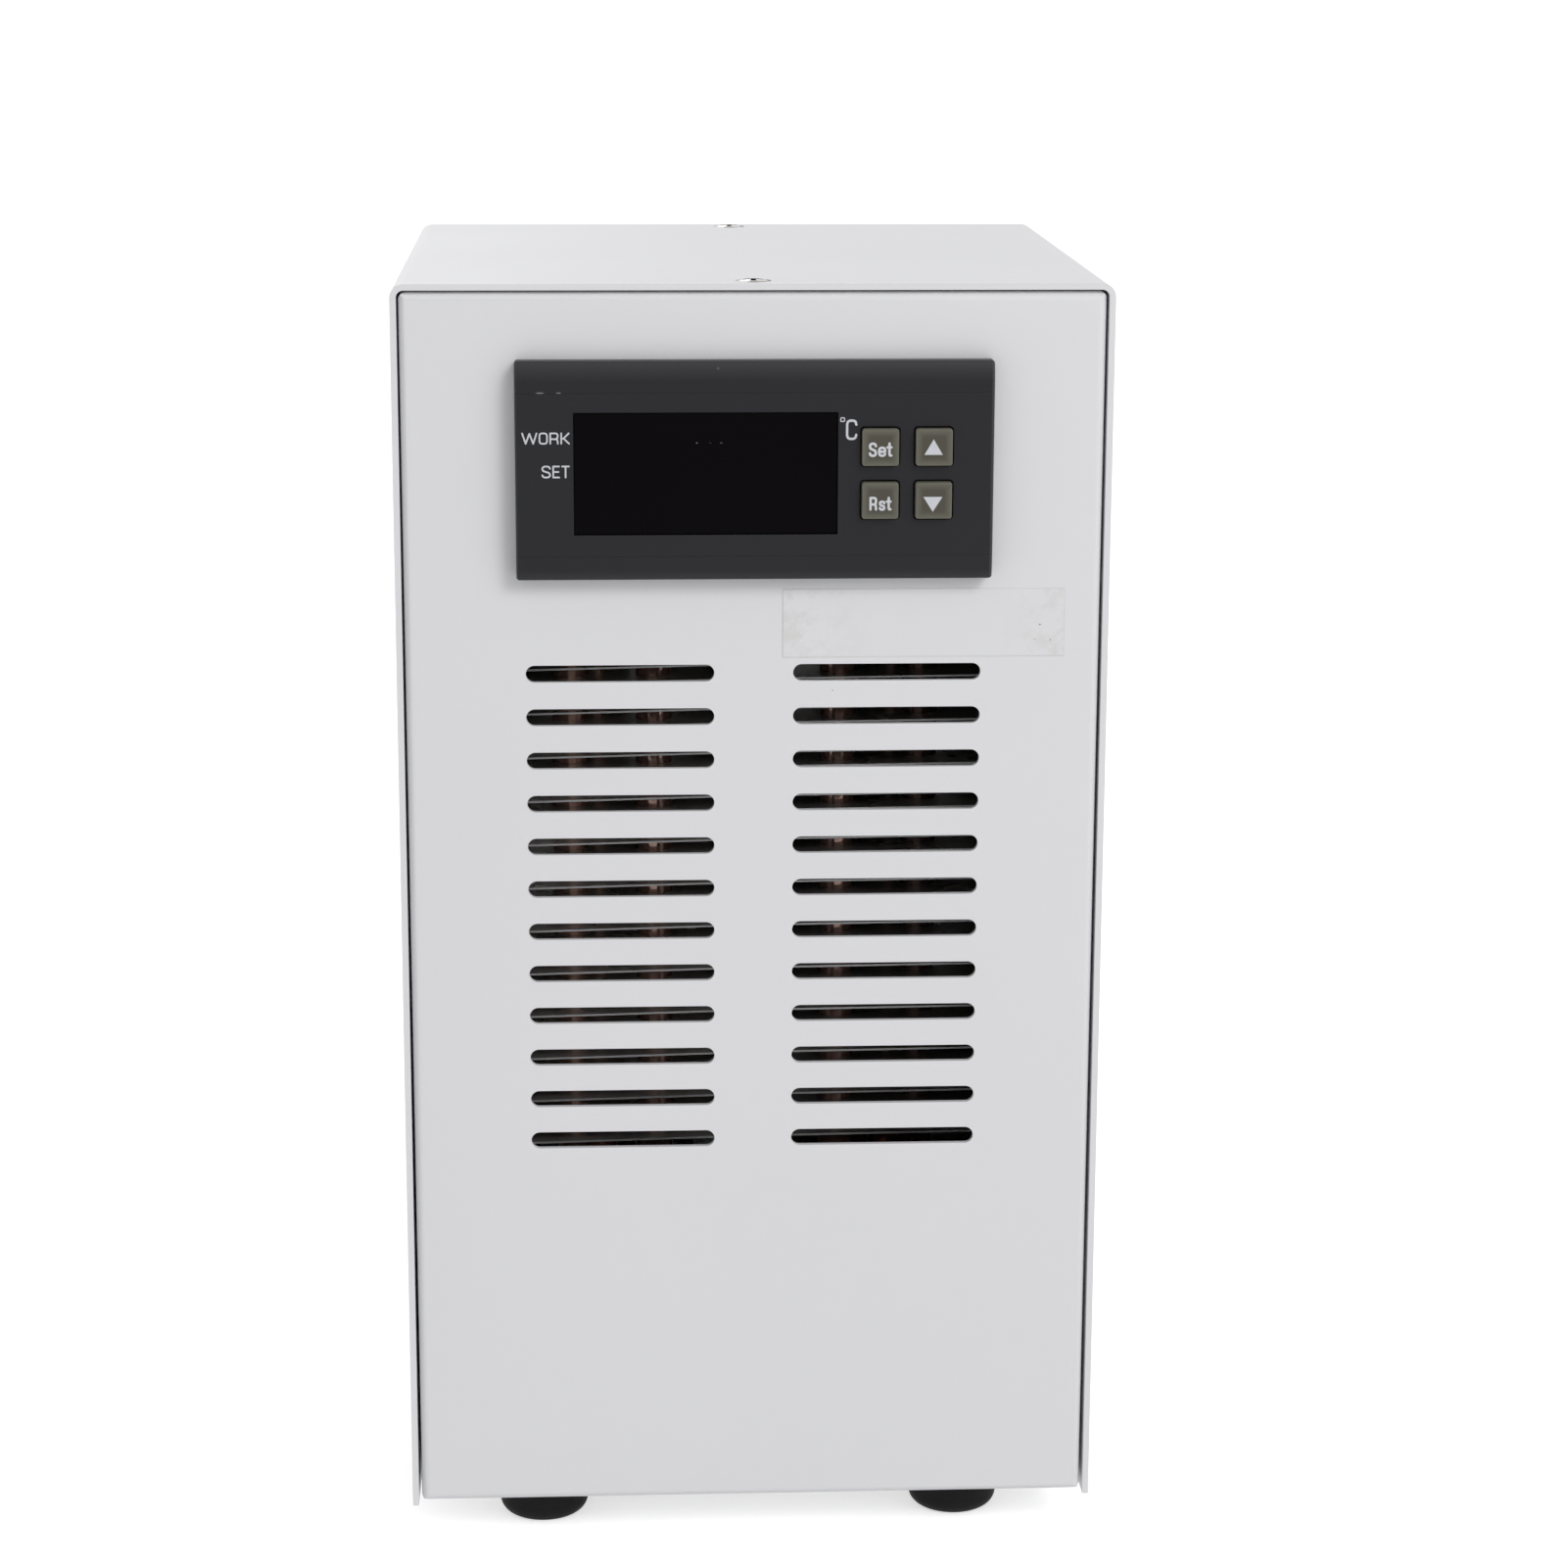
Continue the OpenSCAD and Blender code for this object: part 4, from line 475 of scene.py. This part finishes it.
# Display window: a plate of polished smoked acrylic, unlit, let into the bezel. It has three
# pale flecks under its upper edge.
smoked = finish_of("smoked_acrylic", [(0.0018, 0.0012, 0.002), (0.0024, 0.0017, 0.0026)], rough=(0.1, 0.16),
                   tone_scale=25, grain_scale=300, grain_depth=0.000001, Specular_IOR_Level=0.03)
dotted(smoked, (0.05, 0.05, 0.055), scale=170, size=0.05, few=0.95)
window_low, window_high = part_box("display_window")
FLECKS_DOWN = 0.0047
for along, half_x, half_z, grey in ((0.0192, 0.0002, 0.00012, 0.2), (0.0213, 0.0002, 0.0001, 0.06),
                                    (0.0230, 0.00025, 0.00013, 0.12)):
    marked(smoked, (window_low.x + along, 0, window_high.z - FLECKS_DOWN), half_x, half_z, 3 * (grey,))
dressed("display_window", "window", smoked, edge=0.00012)


# Keys: four caps of grey translucent silicone rubber that stand through the bezel. Each
# carries a printed word or arrow and moves on its own body.
def from_middle(tree, low, high):
    """How far the shaded point lies from the middle of a box, along each axis."""
    return vector_step(tree, "ABSOLUTE", vector_step(tree, "SUBTRACT", own_place(tree), (low + high) / 2))


# The thin rim is painted lighter than the middle over the flange: painted light, where more light comes
# through it
RIM_START = 0.0017
RIM_END = 0.0029
RIM_BLEND = 0.0006
for node, cap, body in (("key_set", "set_cap", "set_button"), ("key_up", "up_cap", "up_button"),
                        ("key_reset", "reset_cap", "reset_button"),
                        ("key_down", "down_cap", "down_button")):
    rubbery = finish_of(cap + "_silicone", [(0.070, 0.064, 0.048), (0.082, 0.076, 0.058)], rough=(0.48, 0.6),
                        tone_scale=300, grain_scale=3000, grain_depth=0.000008,
                        Specular_IOR_Level=0.28, Subsurface_Weight=0.1, Subsurface_Scale=0.001)
    tree = rubbery.node_tree
    side = split(tree, from_middle(tree, *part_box(node)))
    rim = add(tree, "Math", {0: side["X"], 1: side["Z"], 2: RIM_BLEND}, operation="SMOOTH_MAX")
    # Painted light: the rim is tinted lighter
    tint(rubbery, ramp(tree, rim.outputs[0], RIM_START, RIM_END), (0.150, 0.147, 0.114))
    dressed(node, cap, rubbery, edge=0.0004, steps=4, body=body)


# Legends: pale screen-printed words beside the window and on two caps, and the arrows on
# the other two. Each letter is drawn with a plain pen, and its ink stands just proud.
ink = finish_of("pale_ink", [(0.67, 0.68, 0.72), (0.62, 0.63, 0.67)], rough=(0.5, 0.6),
                tone_scale=600, grain_scale=4000, grain_depth=0.000004, Specular_IOR_Level=0.3)
MM_PER_M = 1000
INK_T = 0.00002
LAYER = 0.0006
PEN_SIDES = 12
RING = [(0.3, 0), (0.7, 0), (0.92, 0.06), (1, 0.22), (1, 0.78), (0.92, 0.94), (0.7, 1), (0.3, 1),
        (0.08, 0.94), (0, 0.78), (0, 0.22), (0.08, 0.06), (0.3, 0)]
BEND = [(1, 0.8), (0.9, 0.94), (0.68, 1), (0.32, 1), (0.08, 0.93), (0, 0.78), (0.1, 0.6), (0.35, 0.53),
        (0.65, 0.47), (0.9, 0.4), (1, 0.22), (0.92, 0.07), (0.68, 0), (0.32, 0), (0.1, 0.06), (0, 0.2)]
LETTERS = {
    "W": [[(0, 1), (0.24, 0), (0.5, 0.97), (0.76, 0), (1, 1)]],
    "O": [RING],
    "R": [[(0, 0), (0, 1), (0.7, 1), (0.93, 0.94), (1, 0.78), (0.93, 0.5), (0.7, 0.44), (0, 0.44)],
          [(0.66, 0.44), (0.9, 0.38), (0.97, 0.25), (1, 0)]],
    "K": [[(0, 0), (0, 1)], [(0.98, 1), (0.3, 0.5), (0, 0.48)], [(0.3, 0.5), (1, 0)]],
    "S": [BEND], "s": [BEND],
    "E": [[(1, 1), (0, 1), (0, 0), (1, 0)], [(0, 0.5), (0.9, 0.5)]],
    "T": [[(0, 1), (1, 1)], [(0.5, 1), (0.5, 0)]],
    "C": [[(1, 0.78), (0.92, 0.94), (0.7, 1), (0.3, 1), (0.08, 0.94), (0, 0.8), (0, 0.2), (0.08, 0.06),
           (0.3, 0), (0.7, 0), (0.92, 0.06), (1, 0.22)]],
    "e": [[(0.02, 0.5), (1, 0.5), (1, 0.75), (0.88, 0.93), (0.6, 1), (0.35, 1), (0.1, 0.9), (0, 0.7),
           (0, 0.3), (0.12, 0.08), (0.4, 0), (0.65, 0), (0.88, 0.07), (1, 0.22)]],
    "t": [[(0.5, 1), (0.5, 0.15), (0.62, 0), (1, 0)], [(0, 0.68), (1, 0.68)]],
    "o": [RING],
}


def pen_letter(bm, letter, low, high, pen):
    """Draws a letter flat in x and y, in millimetres, with a pen that stays within the corners."""
    inner = (high[0] - low[0] - pen, high[1] - low[1] - pen)
    thick = INK_T * MM_PER_M
    for stroke in LETTERS[letter]:
        spots = [Vector((low[0] + pen / 2 + x * inner[0], low[1] + pen / 2 + y * inner[1], 0))
                 for x, y in stroke]
        # Each touch of the pen lies a shade over the one before, so no two faces coincide
        for start, end in zip(spots, spots[1:] + spots[-1:]):
            run = end - start
            thick += LAYER
            bmesh.ops.create_cone(bm, cap_ends=True, segments=PEN_SIDES, radius1=pen / 2,
                                  radius2=pen / 2, depth=thick, matrix=Matrix.Translation(start))
            if run.length > 0:
                thick += LAYER
                turned = Matrix.Rotation(math.atan2(run.y, run.x), 4, "Z")
                sized = Matrix.Diagonal((run.length, pen, thick, 1))
                bmesh.ops.create_cube(bm, size=1,
                                      matrix=Matrix.Translation((start + end) / 2) @ turned @ sized)


def print_ink(bm, name, front, body):
    """Stands a shape drawn in millimetres from the case's middle line and underside on a face."""
    bmesh.ops.rotate(bm, verts=bm.verts, cent=(0, 0, 0), matrix=Matrix.Rotation(math.pi / 2, 3, "X"))
    bmesh.ops.scale(bm, verts=bm.verts, vec=3 * (1 / MM_PER_M,))
    bmesh.ops.translate(bm, verts=bm.verts, vec=(0, front - INK_T / 2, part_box("front_panel")[0].z))
    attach(made(bm, name, ink), body)


def print_word(name, letters, front, pen, body="case"):
    """Prints letters, each with its own two corners, as one piece."""
    bm = bmesh.new()
    for letter, x0, z0, x1, z1 in letters:
        pen_letter(bm, letter, (x0, z0), (x1, z1), pen)
    print_ink(bm, name, front, body)


def print_arrow(name, x0, z0, x1, z1, front, body, turn):
    """Prints a solid triangle that points up, or another way after a turn."""
    bm = bmesh.new()
    bmesh.ops.create_cone(bm, cap_ends=True, segments=3, radius1=1, radius2=1, depth=INK_T * MM_PER_M)
    bmesh.ops.rotate(bm, verts=bm.verts, cent=(0, 0, 0), matrix=Matrix.Rotation(turn, 3, "Z"))
    xs = [vert.co.x for vert in bm.verts]
    ys = [vert.co.y for vert in bm.verts]
    bmesh.ops.translate(bm, verts=bm.verts, vec=(-min(xs), -min(ys), 0))
    bmesh.ops.scale(bm, verts=bm.verts, vec=((x1 - x0) / (max(xs) - min(xs)),
                                             (z1 - z0) / (max(ys) - min(ys)), 1))
    bmesh.ops.translate(bm, verts=bm.verts, vec=(x0, z0, 0))
    print_ink(bm, name, front, body)


print_word("work_legend", [("W", -36.45, 178.73, -33.96, 180.6), ("O", -33.76, 178.73, -32.34, 180.6),
                           ("R", -32.08, 178.73, -30.66, 180.6), ("K", -30.37, 178.73, -28.92, 180.6)],
           bezel_front, pen=0.25)
print_word("set_legend", [("S", -33.38, 173.42, -31.92, 175.4), ("E", -31.68, 173.42, -30.5, 175.4),
                          ("T", -30.28, 173.42, -28.97, 175.4)], bezel_front, pen=0.26)
print_word("degree_legend", [("o", 13.3, 182.1, 14.05, 182.85)], bezel_front, pen=0.16)
print_word("celsius_legend", [("C", 14.2, 179.27, 16, 182.5)], bezel_front, pen=0.37)
cap_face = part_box("key_set")[0].y
print_word("set_key_word", [("S", 17.7, 176.76, 19.02, 179.04), ("e", 19.16, 176.76, 20.46, 178.4),
                            ("t", 20.46, 176.8, 21.45, 179.06)], cap_face, pen=0.39, body="set_button")
print_word("reset_key_word", [("R", 17.88, 168.28, 19.12, 170.48), ("s", 19.36, 168.26, 20.42, 169.88),
                              ("t", 20.44, 168.3, 21.4, 170.48)], cap_face, pen=0.38, body="reset_button")
print_arrow("up_key_arrow", 26.44, 177.06, 29.34, 179.5, cap_face, "up_button", turn=0)
print_arrow("down_key_arrow", 26.37, 168.06, 29.37, 170.42, cap_face, "down_button", turn=math.pi)


# Front panel: a folded pan in stove enamel with two columns of twelve punched air slots,
# whose edges the paint rounds, and the cut-out that the controller fills.
dressed("front_panel", "front_pan", enamel, edge=0.0002)


# Label: a thin blank film stuck under the controller at the right, a little lifted and
# soiled where its edges have caught dust.
film = finish_of("label_film", PANEL_WHITES, rough=(0.28, 0.4),
                 tone_scale=60, grain_scale=500, grain_depth=0.00001, Specular_IOR_Level=0.4)
tree = film.node_tree
film_low, film_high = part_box("blank_label")
LEFT_SOILED = (0.003, 0.015)
RIGHT_SOILED = (0.011, 0.002)
PATCH_EDGES = (0.44, 0.62)
across = split(tree, own_place(tree))["X"]
left = ramp(tree, across, *(film_low.x + depth for depth in LEFT_SOILED), low=1, high=0)
right = ramp(tree, across, *(film_high.x - depth for depth in RIGHT_SOILED))
smear = add(tree, "TexNoise", {"Vector": own_place(tree), "Scale": 330, "Detail": 6, "Roughness": 0.65})
patchy = ramp(tree, smear.outputs["Fac"], *PATCH_EDGES)
soiled = reckon(tree, "MULTIPLY", reckon(tree, "ADD", left, right), patchy)
tint(film, soiled, (0.66, 0.65, 0.62), share=0.5)

# A darker line follows the film's edge, and three flecks lie at its lower right
EDGE_START = -0.00022
EDGE_END = -0.0001
FLECK_SQUASH = 0.7
past = split(tree, vector_step(tree, "SUBTRACT", from_middle(tree, film_low, film_high),
                               (film_high - film_low) / 2))
outermost = reckon(tree, "MAXIMUM", past["X"], past["Z"])
tint(film, ramp(tree, outermost, EDGE_START, EDGE_END), (0.6, 0.6, 0.58), share=0.25)
for back, up, half, grey in ((0.0040, 0.0051, 0.00022, 0.12), (0.0023, 0.0026, 0.0002, 0.3),
                             (0.0048, 0.0027, 0.00018, 0.45)):
    marked(film, (film_high.x - back, 0, film_low.z + up), half, FLECK_SQUASH * half, 3 * (grey,))
paint_node(film, "blank_label")


# Cover: one bent sheet in stove enamel over the sides and the top, held by two countersunk
# screws on top and four at the sides.
dressed("cover", "cover_sheet", enamel, edge=0.0002)
screw_zinc = finish_of("screw_zinc", [(0.78, 0.76, 0.72), (0.42, 0.4, 0.38)], rough=(0.1, 0.2),
                       tone_scale=420, grain_scale=4200, grain_depth=0.000006, metallic=1)
# Painted shade darkens a head's recess and its rim, where its face turns away from both directions that the
# screws are driven in
RIM_UNSHADED = 0.968
RIM_SHADED = 0.955
tree = screw_zinc.node_tree
turned = split(tree, add(tree, "TexCoord").outputs["Normal"])
facing = reckon(tree, "MAXIMUM", reckon(tree, "ABSOLUTE", turned["X"]), turned["Z"])
# Painted shade on the head's rim and recess
tint(screw_zinc, ramp(tree, facing, RIM_UNSHADED, RIM_SHADED), (0.05, 0.05, 0.045))
paint_node(screw_zinc, "cover_top_screws", "cover_side_screws", "press_nuts")


# Studio: a wide pale floor under the chiller and soft light from the upper right. The
# camera and the reflections see the floor and the world as white. The floor's lower face
# is clear, so the tray and the feet can be seen from below.
FLOOR_HALF = 40
FLOOR_GLOW = 0.62
SKY_LIGHT = 0.5
LIT_SPOT = Vector((0, 0, 0.1))


def white_rays(tree):
    """1 for the rays that see the studio as white: the camera's, reflected and let through."""
    ray = add(tree, "LightPath").outputs
    seen = reckon(tree, "MAXIMUM", ray["Is Camera Ray"], ray["Is Glossy Ray"])
    return reckon(tree, "MAXIMUM", seen, ray["Is Transmission Ray"])


floor_paint = bpy.data.materials.new("floor_paint")
floor_paint.use_nodes = True
tree = floor_paint.node_tree
tree.nodes.clear()
matt = add(tree, "BsdfDiffuse", {"Color": (0.85, 0.85, 0.85, 1)}).outputs[0]
glow = add(tree, "Emission", {"Color": (1, 1, 1, 1), "Strength": FLOOR_GLOW}).outputs[0]
both = add(tree, "AddShader", {0: matt, 1: glow}).outputs[0]
shown = add(tree, "MixShader", {0: white_rays(tree), 1: matt, 2: both}).outputs[0]
below = add(tree, "NewGeometry").outputs["Backfacing"]
clear = add(tree, "BsdfTransparent").outputs[0]
sided = add(tree, "MixShader", {0: below, 1: shown, 2: clear}).outputs[0]
add(tree, "OutputMaterial", {"Surface": sided})
bm = bmesh.new()
bmesh.ops.create_grid(bm, x_segments=1, y_segments=1, size=FLOOR_HALF)
made(bm, "floor", floor_paint)

world = bpy.data.worlds.new("studio")
world.use_nodes = True
scene.world = world
tree = world.node_tree
sky = tree.nodes["Background"]
sky.inputs["Color"].default_value = (1, 1, 1, 1)
tree.links.new(ramp(tree, white_rays(tree), 0, 1, SKY_LIGHT, 1), sky.inputs["Strength"])


def softbox(name, kind, place, **settings):
    """Adds a lamp at place that faces the middle of the chiller."""
    lamp = bpy.data.lights.new(name, kind)
    for label, value in settings.items():
        setattr(lamp, label, value)
    light = bpy.data.objects.new(name, lamp)
    turn = (LIT_SPOT - Vector(place)).to_track_quat("-Z", "Y")
    light.matrix_world = Matrix.Translation(place) @ turn.to_matrix().to_4x4()
    scene.collection.objects.link(light)


# Far softboxes light the front and the rear alike over their whole height, and a near one at
# the right makes that side a little lighter
softbox("far_softbox", "SUN", (0.75, -1.1, 1.15), energy=0.75, angle=math.radians(22))
softbox("rear_softbox", "SUN", (-0.6, 1.2, 0.6), energy=0.42, angle=math.radians(50))
softbox("near_softbox", "AREA", (0.65, -0.75, 0.7), size=0.6, energy=2.2)
